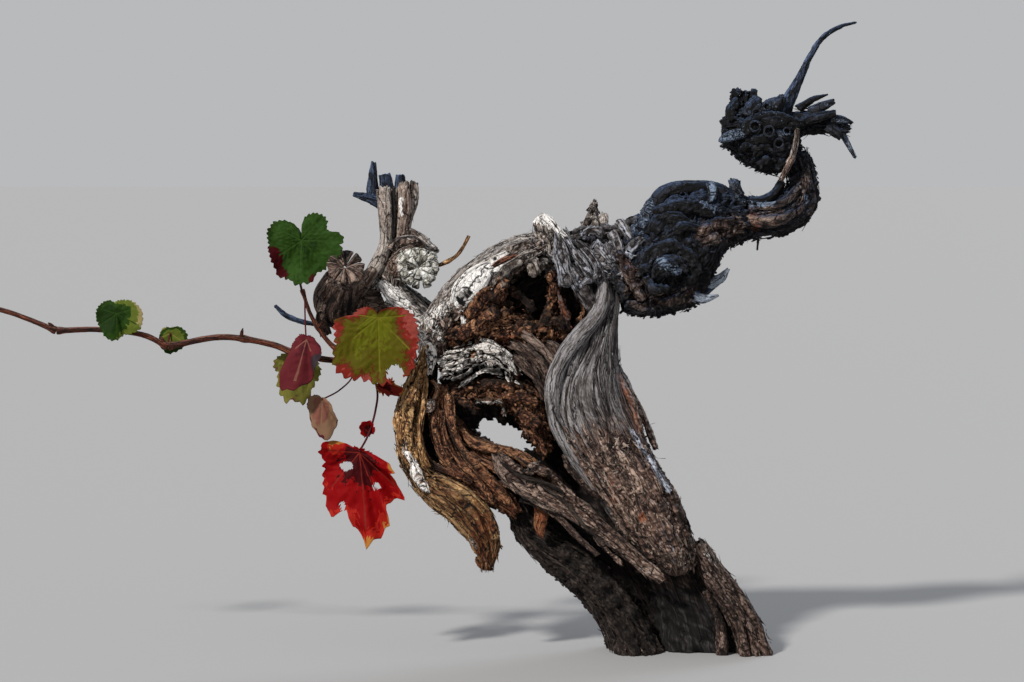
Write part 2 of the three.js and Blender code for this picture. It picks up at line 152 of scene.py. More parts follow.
# a closed tube along a path: a grid wrapped round it, whose first and last rows close its ends
def tubeMesh(path, rings, sides, tear=(0, 0), dome=(0, 0), shift=(0, 0), seed=0, tone=0.5):
    bm = bmesh.new()
    bmesh.ops.create_grid(bm, x_segments=rings, y_segments=sides, size=1)
    mesh = bpy.data.meshes.new("tube")
    bm.to_mesh(mesh)
    share = getRows(mesh, None) * 0.5 + 0.5
    u, angle = share[:, 0], share[:, 1] * 2 * math.pi
    ends = path["lines"]["half"][[0, -1]].mean(axis=1)
    whole = path["length"] + ends.sum()
    caps = np.clip(ends / whole, 1.01 / rings, 0.45)
    fill = np.clip(np.minimum(u / caps[0], (1 - u) / caps[1]), 0, 1)
    s = np.clip((u - caps[0]) / (1 - caps.sum()), 0, 1) * path["length"]
    place, here = skinAt(path, s, angle, fill)
    grain = np.stack([np.cos(angle) * path["mean"][0] * fill, np.sin(angle) * path["mean"][1] * fill, s], 1)
    grain += (*shift, 0)
    for end, sign in ((0, -1), (1, 1)):
        gap = s if end == 0 else path["length"] - s
        near = 1 - smoothStep(gap, 0, 3 * tear[end] + 1e-6)
        rough = noiseAt(grain * (0.22, 0.22, 0.02), seed + 31) + 0.5 * noiseAt(grain * (0.5, 0.5, 0.05), seed + 32)
        capped = (1 - fill ** 2) * (gap < 1e-6)
        place += here["tangent"] * (sign * (near * tear[end] * rough + dome[end] * capped))[:, None]
    mesh.vertices.foreach_set("co", (place * mm).ravel())
    setRows(mesh, "grain", "FLOAT_VECTOR", grain)
    setRows(mesh, "tone", "FLOAT", np.full(len(place), tone))
    bm.clear()
    bm.from_mesh(mesh)
    bmesh.ops.remove_doubles(bm, verts=bm.verts, dist=1e-6)
    bmesh.ops.recalc_face_normals(bm, faces=bm.faces)
    bm.to_mesh(mesh)
    bm.free()
    mesh.shade_smooth()
    return mesh


# how the old wood's surface is broken up: lumps, plates parted by cracks along the grain, layers that end in
# steps, fine fibres and crumbs, each with its height and its size in mm
barkKinds = {
    "smooth": {"lump": (1.2, 34), "plate": (1.2, 8, 140), "layer": 0.5, "fibre": (0.6, 2.4, 60), "crumb": (0.4, 3),
               "wander": 5},
    "stringy": {"lump": (1.5, 24), "plate": (2.4, 5, 60), "layer": 1.4, "fibre": (0.9, 2.1, 30), "crumb": (0.8, 3),
                "wander": 6},
    "flaky": {"lump": (1.8, 20), "plate": (1.9, 6, 16), "layer": 2.4, "fibre": (0.6, 2.3, 10), "crumb": (1.4, 3.4),
              "wander": 6},
    "crumbly": {"lump": (3.2, 14), "plate": (2.2, 6, 12), "layer": 3.4, "fibre": (0.5, 2.6, 7), "crumb": (2.6, 4.4),
                "wander": 8},
    "tangled": {"lump": (3.2, 15), "plate": (2.4, 6, 18), "layer": 3.2, "fibre": (0.7, 2.5, 14), "crumb": (2.2, 4),
                "wander": 13},
    "twig": {"lump": (0.3, 9), "plate": (0.4, 2.4, 26), "layer": 0.2, "fibre": (0.25, 1.1, 12), "crumb": (0.2, 1.5),
             "wander": 1},
}


def barkRelief(mesh, kind, strength=1.0, seed=0, dents=()):
    bark = barkKinds[kind]
    grain = getRows(mesh, "grain", "vector")
    place = getRows(mesh, None)
    normal = getRows(mesh, None, "normal")
    bend = np.stack([noiseAt(grain / (38, 38, 60), seed + k) for k in (1, 2)] + [np.zeros(len(grain))], 1)
    bent = grain + bend * bark["wander"]
    depth, width, length = bark["plate"]
    plates = np.clip(np.abs(noiseAt(bent / (width, width, length), seed + 3)) / 0.17, 0, 1)
    splits = np.clip(np.abs(noiseAt(bent / (width * 0.45, width * 0.45, length * 0.5), seed + 4)) / 0.25, 0, 1)
    layers = noiseAt(bent / (width * 1.9, width * 1.9, length), seed + 11) * 3
    steps = (np.floor(layers) + smoothStep(layers % 1, 0.72, 1)) / 3
    height, width, length = bark["fibre"]
    fibres = 1 - np.abs(noiseAt(bent / (width, width, length), seed + 5))
    lift, spread = bark["lump"]
    lumps = noiseAt(grain / spread, seed + 6)
    bulk, size = bark["crumb"]
    crumbs = np.abs(noiseAt(place / mm / size, seed + 8)) + 0.5 * np.abs(noiseAt(place / mm / size / 0.45, seed + 9))
    rise = lumps * lift + (plates * (2 - plates) - 1) * depth + (splits - 1) * depth * 0.4
    rise += steps * bark["layer"] + (fibres - 0.7) * height + (crumbs - 0.5) * bulk
    rise *= strength
    front = smoothStep(-normal[:, 1], -0.1, 0.5)
    rise -= streakMask(place / mm, dents, seed + 7) * front
    mesh.vertices.foreach_set("co", (place + normal * rise[:, None] * mm).ravel())
    rough = bulk / (bulk + depth)
    worn = np.clip(crumbs * 1.6, 0, 1) * (0.5 + 0.5 * plates)
    # relief is low in cracks and splits and lowered again at the layers' step faces; the material's ramp paints these
    # low places near black as painted shade
    relief = (0.5 * plates + 0.15 * splits + 0.2 * (fibres - 0.4) / 0.6 + 0.15) * (1 - rough) + rough * worn
    cliff = smoothStep(layers % 1, 0.4, 0.8) * (1 - smoothStep(layers % 1, 0.8, 1)) * min(1, bark["layer"] / 2)
    setRows(mesh, "relief", "FLOAT", relief * (1 - 0.5 * cliff) + 0.1 * lumps)
    mesh.update()


# a strip of bark or a loose fibre that lies along a limb's skin and peels off at its ends
def stripMesh(path, strips, seed):
    start = dice.uniform(*strips.get("from", (0, 0.9))) * path["length"]
    length = dice.uniform(*strips["length"])
    stop = min(start + length, path["length"] * strips.get("to", 1.0) + strips.get("past", 0))
    around = strips.get("around", (0, 360))
    angle = math.radians(dice.uniform(*around))
    drift = dice.uniform(-1, 1) * strips.get("drift", 0.15)
    width = dice.uniform(*strips["width"]) / 2
    thick = dice.uniform(*strips["thick"]) / 2
    peel = dice.uniform(0, strips["peel"])
    share = np.linspace(0, 1, 14)
    s = start + share * (stop - start)
    wave = 0.12 * min(1, length / 70) * np.sin(share * dice.uniform(3, 7) + dice.uniform(0, 6))
    turn = angle + drift * share + wave
    place, here = skinAt(path, s, turn)
    round_, outward = skinFrame(path, here, turn, place)
    beyond = np.maximum(s - path["length"], 0)
    lift = strips["lift"] + peel * (2 * np.abs(share - dice.uniform(0.35, 0.65))) ** 3
    centre = place + outward * lift[:, None] + here["tangent"] * beyond[:, None]
    taper = np.clip(np.minimum(share / 0.3, (1 - share) / 0.3), 0, 1) ** 0.7
    half = np.stack([width * np.maximum(taper, 0.12), thick * np.maximum(taper, 0.25)], 1)
    strip = pathOf(centre, half, round_, outward)
    shift = (dice.uniform(-90, 90), dice.uniform(-90, 90))
    rings = max(5, int((stop - start) / strips.get("cell", 3.5)))
    return tubeMesh(strip, rings, strips.get("sides", 6), shift=shift, seed=seed, tone=dice.random())


# at places on a limb's skin, the directions round it and out of it
def skinFrame(path, here, turn, place):
    round_ = unit(-here["across"] * (np.sin(turn) * here["half"][:, 0])[:, None]
                  + here["deep"] * (np.cos(turn) * here["half"][:, 1])[:, None])
    outward = unit(np.cross(round_, here["tangent"]))
    outward *= np.sign((outward * (place - here["centre"])).sum(axis=1))[:, None]
    return round_, outward


# flat-sided shards of rotten wood that sit on a limb's skin, tilted at random
def chunksMesh(path, chunks, seed):
    count = chunks["count"]
    bm = bmesh.new()
    for _ in range(count):
        bmesh.ops.create_icosphere(bm, subdivisions=1, radius=1)
    mesh = bpy.data.meshes.new("chunks")
    bm.to_mesh(mesh)
    bm.free()
    draw = np.random.default_rng(seed)
    low, high = chunks.get("from", (0, 1))
    s = draw.uniform(low, high, count) * path["length"]
    turn = np.radians(draw.uniform(*chunks.get("around", (0, 360)), count))
    place, here = skinAt(path, s, turn)
    round_, outward = skinFrame(path, here, turn, place)
    spread = chunks.get("spread", 0.5)
    thin = unit(outward + spread * draw.normal(size=(count, 3)))
    long = here["tangent"] + spread * draw.normal(size=(count, 3))
    long = unit(long - (long * thin).sum(axis=1)[:, None] * thin)
    frames = np.stack([np.cross(thin, long), thin, long], 1)
    sides = draw.uniform((0.5, 0.2, 0.9), (1.1, 0.5, 2.2), (count, 3)) * draw.uniform(*chunks["size"], count)[:, None] / 2
    ball = getRows(mesh, None).reshape(count, -1, 3)
    ball = ball * draw.uniform(0.6, 1.3, ball.shape[:2])[..., None] * sides[:, None]
    centre = place + outward * draw.uniform(*chunks["lift"], count)[:, None]
    spot = np.einsum("nki,nij->nkj", ball, frames) + centre[:, None]
    mesh.vertices.foreach_set("co", (spot * mm).ravel())
    corners = ball.shape[1]
    shift = np.column_stack([draw.uniform(-90, 90, (count, 2)), s])
    setRows(mesh, "grain", "FLOAT_VECTOR", ball + shift[:, None])
    setRows(mesh, "tone", "FLOAT", np.repeat(draw.random(count), corners))
    setRows(mesh, "relief", "FLOAT", np.repeat(draw.uniform(0.2, 1.15, count), corners))
    mesh.update()
    return mesh


def joinMeshes(meshes, name):
    bm = bmesh.new()
    for mesh in meshes:
        bm.from_mesh(mesh)
    joined = bpy.data.meshes.new(name)
    bm.to_mesh(joined)
    bm.free()
    for mesh in meshes:
        bpy.data.meshes.remove(mesh)
    return joined


# how strongly each vertex lies in one of the named streaks (x, z, x, z, radius, strength), with a ragged edge
def streakMask(place, streaks, seed):
    mask = np.zeros(len(place))
    flat = place[:, [0, 2]]
    rough = noiseAt(place / 6, seed) * 0.45 + noiseAt(place / 2.6, seed + 1) * 0.35
    for x0, z0, x1, z1, radius, strength in streaks:
        start, run = np.array((x0, z0), float), np.array((x1 - x0, z1 - z0), float)
        share = np.clip((flat - start) @ run / max(run @ run, 1e-6), 0, 1)
        gap = np.linalg.norm(flat - start - share[:, None] * run, axis=1) / radius
        mask = np.maximum(mask, strength * smoothStep(-(gap + rough), -1.1, -0.6))
    return mask


# the wood's stains: bleached wood (on the dark arm and the crown also a painted blue-grey highlight), rust and brown
# are its own colours, and the near-black stain is painted shade in hollows, gaps and shadowed undersides
stains = ("bleach", "rust", "painted_shade", "brown")


def stain(mesh, shares):
    for name in stains:
        setRows(mesh, name, "FLOAT", np.full(len(mesh.vertices), float(shares.get(name, 0))))
    return mesh


# each stain's streaks are painted on the front-facing skin; the near-black streaks are painted shadow, and dents get
# painted shade in their hollows
def paintWood(mesh, wood, seed):
    place = getRows(mesh, None) / mm
    normal = getRows(mesh, None, "normal")
    front = smoothStep(-normal[:, 1], -0.5, 0.2)
    for name in stains:
        mask = streakMask(place, wood.get(name, ()), seed) * front
        setRows(mesh, name, "FLOAT", np.maximum(mask, getRows(mesh, name, "value", 1)))
    # dents, sunk in barkRelief, are also painted dark: painted shade in their hollows
    if "dents" in wood:
        paintedShadeSoFar = getRows(mesh, "painted_shade", "value", 1)
        deep = np.clip(streakMask(place, wood["dents"], seed + 7) / 9, 0, 0.9) * front
        setRows(mesh, "painted_shade", "FLOAT", np.maximum(paintedShadeSoFar, deep))
    # painted sky reflection: a mask of upward-facing skin, which the material tints towards each look's sky colour
    setRows(mesh, "painted_sky_reflection", "FLOAT", smoothStep(normal[:, 2], 0.1, 0.9))


def linear(code):
    parts = [int(code[k:k + 2], 16) / 255 for k in (0, 2, 4)]
    return tuple(((c + 0.055) / 1.055) ** 2.4 if c > 0.04 else c / 12.92 for c in parts) + (1,)


# a row of shader nodes is built with these: one makes a node, the next sets or links its inputs
def addNode(tree, kind, inputs=None, **settings):
    node = tree.nodes.new(kind)
    for name, value in settings.items():
        setattr(node, name, value)
    for name, value in (inputs or {}).items():
        if isinstance(value, bpy.types.NodeSocket):
            tree.links.new(value, node.inputs[name])
        else:
            node.inputs[name].default_value = value
    return node


def addMath(tree, operation, first, second=0.0, third=0.0, clamp=False):
    inputs = {0: first, 1: second, 2: third}
    return addNode(tree, "ShaderNodeMath", inputs, operation=operation, use_clamp=clamp).outputs[0]


# a value carried from one range to 0..1 in a smooth step
def addStep(tree, value, low, high):
    inputs = {"Value": value, "From Min": low, "From Max": high}
    return addNode(tree, "ShaderNodeMapRange", inputs, interpolation_type="SMOOTHSTEP").outputs[0]


def addMix(tree, factor, first, second, blend="MIX"):
    node = addNode(tree, "ShaderNodeMix", {0: factor, 6: first, 7: second}, data_type="RGBA", blend_type=blend)
    return node.outputs[2]


def addRamp(tree, factor, stops):
    node = addNode(tree, "ShaderNodeValToRGB", {0: factor})
    ramp = node.color_ramp
    while len(ramp.elements) < len(stops):
        ramp.elements.new(0.5)
    for element, (place, colour) in zip(ramp.elements, stops):
        element.position = place
        element.color = colour
    return node.outputs[0]


def newMaterial(name):
    material = bpy.data.materials.new(name)
    material.use_nodes = True
    return material, material.node_tree, material.node_tree.nodes["Principled BSDF"]


# the colours of each wood from its cracks to its ridges (the near-black crack end is painted shade), its pale flecks,
# its painted sky reflection on upward-facing ridges, its worn patches, how much its grain is drawn out (1 is not at
# all) and how many plates it has in a millimetre
woodLooks = {
    # the heartwood's blue-grey worn colour is worn wood and also a painted sky reflection on the trunk's top and left
    # edge
    "heartwood": {"ramp": ("0b0807", "2c2625", "544e4d", "8f8c8d"), "fleck": "b9b6b7", "painted_sky_reflection": ("80848d", 0.35),
                  "worn": "b2b8c6", "stretch": 0.045, "plates": 0.15, "flecks": 0.66},
    "oldBark": {"ramp": ("060302", "261b16", "503d35", "8a776c"), "fleck": "ad9b90", "painted_sky_reflection": ("827c78", 0.3),
                "worn": "e0dbd6", "stretch": 0.2, "plates": 0.17, "flecks": 0.63},
    "rotten": {"ramp": ("050201", "27130b", "5a3423", "a07454"), "fleck": "c79a76", "painted_sky_reflection": ("917d69", 0.25),
               "worn": "ece6e0", "stretch": 0.32, "plates": 0.19, "flecks": 0.61},
    "straw": {"ramp": ("0a0502", "472a14", "946940", "d6ad7a"), "fleck": "e8cda0", "painted_sky_reflection": ("ab9d8b", 0.25),
              "worn": "f2eeea", "stretch": 0.15, "plates": 0.17, "flecks": 0.6},
    "bleached": {"ramp": ("0a0605", "3a2f2a", "736760", "b0a69e"), "fleck": "dedad6", "painted_sky_reflection": ("bdbcbd", 0.35),
                 "worn": "f4f1ee", "stretch": 0.2, "plates": 0.16, "flecks": 0.6},
    # near black for the arm's dark wood and darker still as painted shade of its shadowed side; its blue-grey fleck,
    # worn and sky colours are a painted sky reflection
    "dark": {"ramp": ("010101", "070607", "111012", "303036"), "fleck": "5c6472", "painted_sky_reflection": ("374a68", 0.8),
             "worn": "76869d", "stretch": 0.35, "plates": 0.17, "flecks": 0.67},
    # the blue of the twig look's ridges, flecks, worn patches and sky colour is a painted sky reflection
    "twig": {"ramp": ("040507", "12151d", "252c3a", "4d5c78"), "fleck": "7285a6", "painted_sky_reflection": ("54698e", 0.7),
             "worn": "a9b4c4", "stretch": 0.12, "plates": 0.3, "flecks": 0.67},
    "cane": {"ramp": ("0d0503", "2c140c", "562616", "8a4f33"), "fleck": "9d6648", "painted_sky_reflection": ("94807a", 0.3),
             "worn": "c0a090", "stretch": 0.05, "plates": 0.25, "flecks": 0.68},
    "cut": {"ramp": ("0e0c09", "6a675c", "c6c5bc", "f4f4f0"), "fleck": "f4f4f0", "painted_sky_reflection": ("e0e0d8", 0.2),
            "worn": "e8e8e2", "stretch": 0.9, "plates": 0.15, "flecks": 0.62},
}
rampPlaces = (0.12, 0.38, 0.64, 0.97)
brownBark = ("080403", "33231c", "695146", "ac9687")


def woodMaterial(name):
    look = woodLooks[name]
    material, tree, shader = newMaterial("wood_" + name)
    read = lambda layer: addNode(tree, "ShaderNodeAttribute", attribute_name=layer).outputs["Fac"]
    grain = addNode(tree, "ShaderNodeAttribute", attribute_name="grain").outputs["Vector"]
    relief = read("relief")

    def drawn(stretch):
        return addNode(tree, "ShaderNodeMapping", {"Vector": grain, "Scale": (1, 1, stretch)}).outputs[0]

    def noise(stretch, scale, detail, roughness):
        inputs = {"Vector": drawn(stretch), "Scale": scale, "Detail": detail, "Roughness": roughness}
        return addNode(tree, "ShaderNodeTexNoise", inputs)

    wobble = noise(0.4, 0.2, 3, 0.6).outputs["Color"]
    inputs = {0: wobble, 1: (5, 5, 5 * look["stretch"]), 2: drawn(look["stretch"])}
    warped = addNode(tree, "ShaderNodeVectorMath", inputs, operation="MULTIPLY_ADD").outputs[0]

    def cells(scale, feature):
        inputs = {"Vector": warped, "Scale": scale}
        return addNode(tree, "ShaderNodeTexVoronoi", inputs, feature=feature)

    cracks = addStep(tree, cells(look["plates"], "DISTANCE_TO_EDGE").outputs["Distance"], 0.0, 0.055)
    fineCracks = addStep(tree, cells(look["plates"] * 2.9, "DISTANCE_TO_EDGE").outputs["Distance"], 0.0, 0.09)
    plateTone = addNode(tree, "ShaderNodeSeparateColor", {0: cells(look["plates"], "F1").outputs["Color"]}).outputs[0]
    fibres = noise(look["stretch"], 0.9, 6, 0.7).outputs[0]
    specks = noise(min(1, look["stretch"] * 2.5), 0.6, 4, 0.65).outputs[0]
    blotches = noise(0.35, 0.07, 4, 0.6).outputs[0]
    fibre = addMath(tree, "SUBTRACT", fibres, 0.5)
    level = addMath(tree, "MULTIPLY_ADD", fibre, 1.3, relief)
    for value, share in ((blotches, 0.7), (read("tone"), 0.4), (plateTone, 0.3)):
        level = addMath(tree, "MULTIPLY_ADD", addMath(tree, "SUBTRACT", value, 0.5), share, level)
    colour = addRamp(tree, level, [(place, linear(code)) for place, code in zip(rampPlaces, look["ramp"])])
    brown = addRamp(tree, level, [(place, linear(code)) for place, code in zip(rampPlaces, brownBark)])
    colour = addMix(tree, read("brown"), colour, brown)
    raised = addStep(tree, relief, 0.25, 0.6)
    fleck = addMath(tree, "MULTIPLY", addStep(tree, specks, look["flecks"], look["flecks"] + 0.06), raised)
    colour = addMix(tree, addMath(tree, "MULTIPLY", fleck, 0.75), colour, linear(look["fleck"]))
    # painted sky reflection on raised fibres that face upwards
    paintedSkyColour, paintedSkyShare = look["painted_sky_reflection"]
    paintedSkyMask = addMath(tree, "MULTIPLY", addMath(tree, "MULTIPLY", read("painted_sky_reflection"), raised), fibres)
    colour = addMix(tree, addMath(tree, "MULTIPLY", paintedSkyMask, paintedSkyShare * 1.8, clamp=True), colour, linear(paintedSkyColour))
    # worn patches on raised parts; where a look's worn colour is blue-grey they are also a painted sky reflection
    patchy = addMath(tree, "MULTIPLY_ADD", fibre, 1.1, read("bleach"))
    patchy = addMath(tree, "MULTIPLY_ADD", addMath(tree, "SUBTRACT", specks, 0.5), 1.1, patchy)
    patchy = addMath(tree, "MULTIPLY", addStep(tree, patchy, 0.36, 0.66), raised)
    colour = addMix(tree, patchy, colour, linear(look["worn"]))
    rusty = addMath(tree, "MULTIPLY_ADD", addMath(tree, "SUBTRACT", specks, 0.5), 1.6, read("rust"))
    rusty = addMath(tree, "MULTIPLY", addStep(tree, rusty, 0.35, 0.9), 0.75)
    colour = addMix(tree, rusty, colour, linear("8a4a2a"))
    pits = addMath(tree, "MULTIPLY", addStep(tree, specks, 0.43, 0.34), 0.85)
    colour = addMix(tree, pits, colour, linear(look["ramp"][0]))
    # open cracks are mixed to the near-black first colour: painted shade in the cracks
    open_ = addMath(tree, "MULTIPLY", cracks, addMath(tree, "MULTIPLY_ADD", fineCracks, 0.5, 0.5))
    colour = addMix(tree, open_, linear(look["ramp"][0]), colour)
    # the near-black shade stain: painted shadow in hollows, gaps, the cave under the trunk and other shaded places
    colour = addMix(tree, addMath(tree, "MULTIPLY", read("painted_shade"), 0.93), colour, linear("040303"))
    height = addMath(tree, "MULTIPLY_ADD", specks, 0.7, fibres)
    height = addMath(tree, "MULTIPLY_ADD", open_, 0.7, height)
    bump = addNode(tree, "ShaderNodeBump", {"Height": height, "Strength": 0.85, "Distance": 0.0014})
    tree.links.new(colour, shader.inputs["Base Color"])
    tree.links.new(bump.outputs[0], shader.inputs["Normal"])
    shader.inputs["Roughness"].default_value = 0.85
    shader.inputs["Specular IOR Level"].default_value = 0.25
    return material


woodMaterials = {name: woodMaterial(name) for name in woodLooks}


def addPiece(name, mesh, material, nodes):
    piece = bpy.data.objects.new(name, mesh)
    bpy.context.scene.collection.objects.link(piece)
    mesh.name = name
    mesh.materials.append(material)
    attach(piece, "root")
    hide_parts(*nodes)
    return piece


# one limb of old wood: its body with the bark's relief, the ribs grown onto it and the strips and chunks on its skin
def woodLimb(node, look, wood):
    seed = len(bpy.data.objects) * 13
    path = limbPath(wood["path"], wood.get("flat"), wood.get("cup", 0))
    path["edge"] = wood.get("edge", 1)
    for share, swell in wood.get("knots", ()):
        apart = (path["along"] - share * path["length"]) / 4.5
        path["lines"]["half"] *= 1 + swell * np.exp(-apart ** 2)[:, None]
    cell = wood.get("cell", 1.75)
    body = tubeMesh(path, *gridFor(path, cell), wood.get("tear", (0, 0)), wood.get("dome", (0, 0)), seed=seed)
    barkRelief(body, wood["bark"], wood.get("strength", 1.0), seed, wood.get("dents", ()))
    if "hole" in wood:
        cutHole(body, wood["hole"], seed)
    parts = [stain(body, {})]
    for group in wood.get("ribs", ()):
        for rows in group["lines"] if "lines" in group else seamRows(path, group["seams"]):
            rib = limbPath(rows, group.get("flat"))
            rib["edge"] = group.get("edge", 0.75)
            shift = (dice.uniform(-90, 90), dice.uniform(-90, 90))
            tear = group.get("tear", 2)
            size = gridFor(rib, group.get("cell", cell * 0.85))
            parts.append(tubeMesh(rib, *size, (tear, tear), shift=shift, seed=seed + len(parts), tone=dice.random()))
            barkRelief(parts[-1], group.get("bark", wood["bark"]), group.get("strength", 0.6), seed + len(parts))
            stain(parts[-1], group)
    for strips in wood.get("strips", ()):
        for k in range(strips["count"]):
            parts.append(stain(stripMesh(path, strips, seed + k), strips))
            barkRelief(parts[-1], "twig", 1.0, seed + k)
    for chunks in wood.get("chunks", ()):
        parts.append(stain(chunksMesh(path, chunks, seed + len(parts)), chunks))
    if "hole" in wood:
        parts = parts[:1] + [part for part in parts[1:] if not inHole(getRows(part, None), wood["hole"], seed).any()]
    mesh = joinMeshes(parts, node)
    if getRows(mesh, None)[:, 2].min() < 0:
        cutAtGround(mesh)
    paintWood(mesh, wood, seed)
    return addPiece(node + "_wood", mesh, woodMaterials[look], [node])


# rows for ribs that run along a limb's skin and stand out of it by a share of their depth
def seamRows(path, seams):
    count, angles, (low, high), (width, depth) = seams
    lines = []
    for k in range(count):
        angle = angles[0] + (angles[1] - angles[0]) * (k + dice.random()) / count
        start = low + (high - low) * dice.uniform(0, 0.4)
        stop = high - (high - low) * dice.uniform(0, 0.4)
        s = np.linspace(start, stop, 6) * path["length"]
        turn = np.radians(angle + dice.uniform(-6, 6) * np.linspace(-1, 1, 6))
        place, here = skinAt(path, s, turn)
        round_, outward = skinFrame(path, here, turn, place)
        rows = place - outward * depth * dice.uniform(0.3, 0.7)
        reach = dice.uniform(0.6, 1.2)
        sizes = [(width * reach * taper, depth) for taper in (0.4, 0.9, 1, 1, 0.9, 0.4)]
        lines.append([(*row, *size) for row, size in zip(rows, sizes)])
    return lines


# rows for a ring of bark round an old bud scar, and for the wedges that a pruned end cracks into
def ringRows(x, y, z, radius):
    turns = np.radians(np.arange(0, 361, 40))
    return [(x + radius * math.cos(t), y + dice.uniform(0, 1), z + radius * math.sin(t), 1.2, 1.6) for t in turns]


def wedgeRows(middle, facing, radius, count, shares=((0.1, 0.5), (0.45, 2), (0.8, 2.4), (1, 0.8))):
    middle, facing = Vector(middle), Vector(facing).normalized()
    first = facing.cross(Vector((0, 0, 1))).normalized()
    second = facing.cross(first)
    wedges = []
    for k in range(count):
        turn = (k + dice.uniform(-0.15, 0.15)) / count * 2 * math.pi
        way = first * math.cos(turn) + second * math.sin(turn)
        width = math.pi * radius / count
        rim = radius * dice.uniform(0.9, 1.08)
        rows = [(*(middle + way * (rim * share) + facing * rise), width * share * 0.95 + 0.3, 2.6) for share, rise in shares]
        wedges.append(rows)
    return wedges


def gridFor(path, cell):
    cell *= 1.1
    rim = 2 * math.pi * math.sqrt((path["lines"]["half"] ** 2).sum(axis=1).max() / 2)
    whole = path["length"] + path["lines"]["half"][[0, -1]].mean(axis=1).sum()
    return max(8, int(whole / cell)), max(8, int(rim / cell))


def cutAtGround(mesh):
    bm = bmesh.new()
    bm.from_mesh(mesh)
    everything = bm.verts[:] + bm.edges[:] + bm.faces[:]
    cut = bmesh.ops.bisect_plane(bm, geom=everything, plane_co=(0, 0, 0), plane_no=(0, 0, -1), clear_outer=True)
    rim = [part for part in cut["geom_cut"] if isinstance(part, bmesh.types.BMEdge)]
    bmesh.ops.holes_fill(bm, edges=rim, sides=0)
    bm.to_mesh(mesh)
    bm.free()


# the ragged hole that one looks through: the faces in its outline go, and its two rims are bridged
def inHole(places, hole, seed):
    x, z = places[:, 0] / mm - hole["x"], places[:, 2] / mm - hole["z"]
    turn = math.radians(hole["dip"])
    along = (x * math.cos(turn) - z * math.sin(turn)) / hole["halfLength"]
    across = (x * math.sin(turn) + z * math.cos(turn)) / hole["halfHeight"]
    angle = np.arctan2(across, along)
    ring = np.stack([np.cos(angle), np.sin(angle), np.zeros(len(angle))], 1)
    return np.hypot(along, across) + 0.35 * noiseAt(ring * 3.5, seed) < 1


def cutHole(mesh, hole, seed):
    bm = bmesh.new()
    bm.from_mesh(mesh)
    inside = inHole(np.array([face.calc_center_median()[:] for face in bm.faces]), hole, seed)
    lost = [face for face, gone in zip(bm.faces, inside) if gone]
    while lost:
        bmesh.ops.delete(bm, geom=lost, context="FACES")
        knots = [vert for vert in bm.verts if sum(edge.is_boundary for edge in vert.link_edges) > 2]
        lost = list({face for vert in knots for face in vert.link_faces})
    rims = [edge for edge in bm.edges if edge.is_boundary]
    bmesh.ops.bridge_loops(bm, edges=rims)
    bmesh.ops.recalc_face_normals(bm, faces=bm.faces)
    bm.to_mesh(mesh)
    bm.free()


longFibres = {"count": 46, "length": (60, 150), "width": (1.6, 3.6), "thick": (0.8, 1.4), "lift": -0.3, "peel": 0.7,
              "cell": 5, "sides": 6}
shortFlakes = {"count": 90, "length": (7, 24), "width": (2, 5.5), "thick": (0.7, 1.4), "lift": 0.4, "peel": 1.8}
crumbs = {"count": 80, "size": (1.5, 4.5), "lift": (-1, 1.5)}

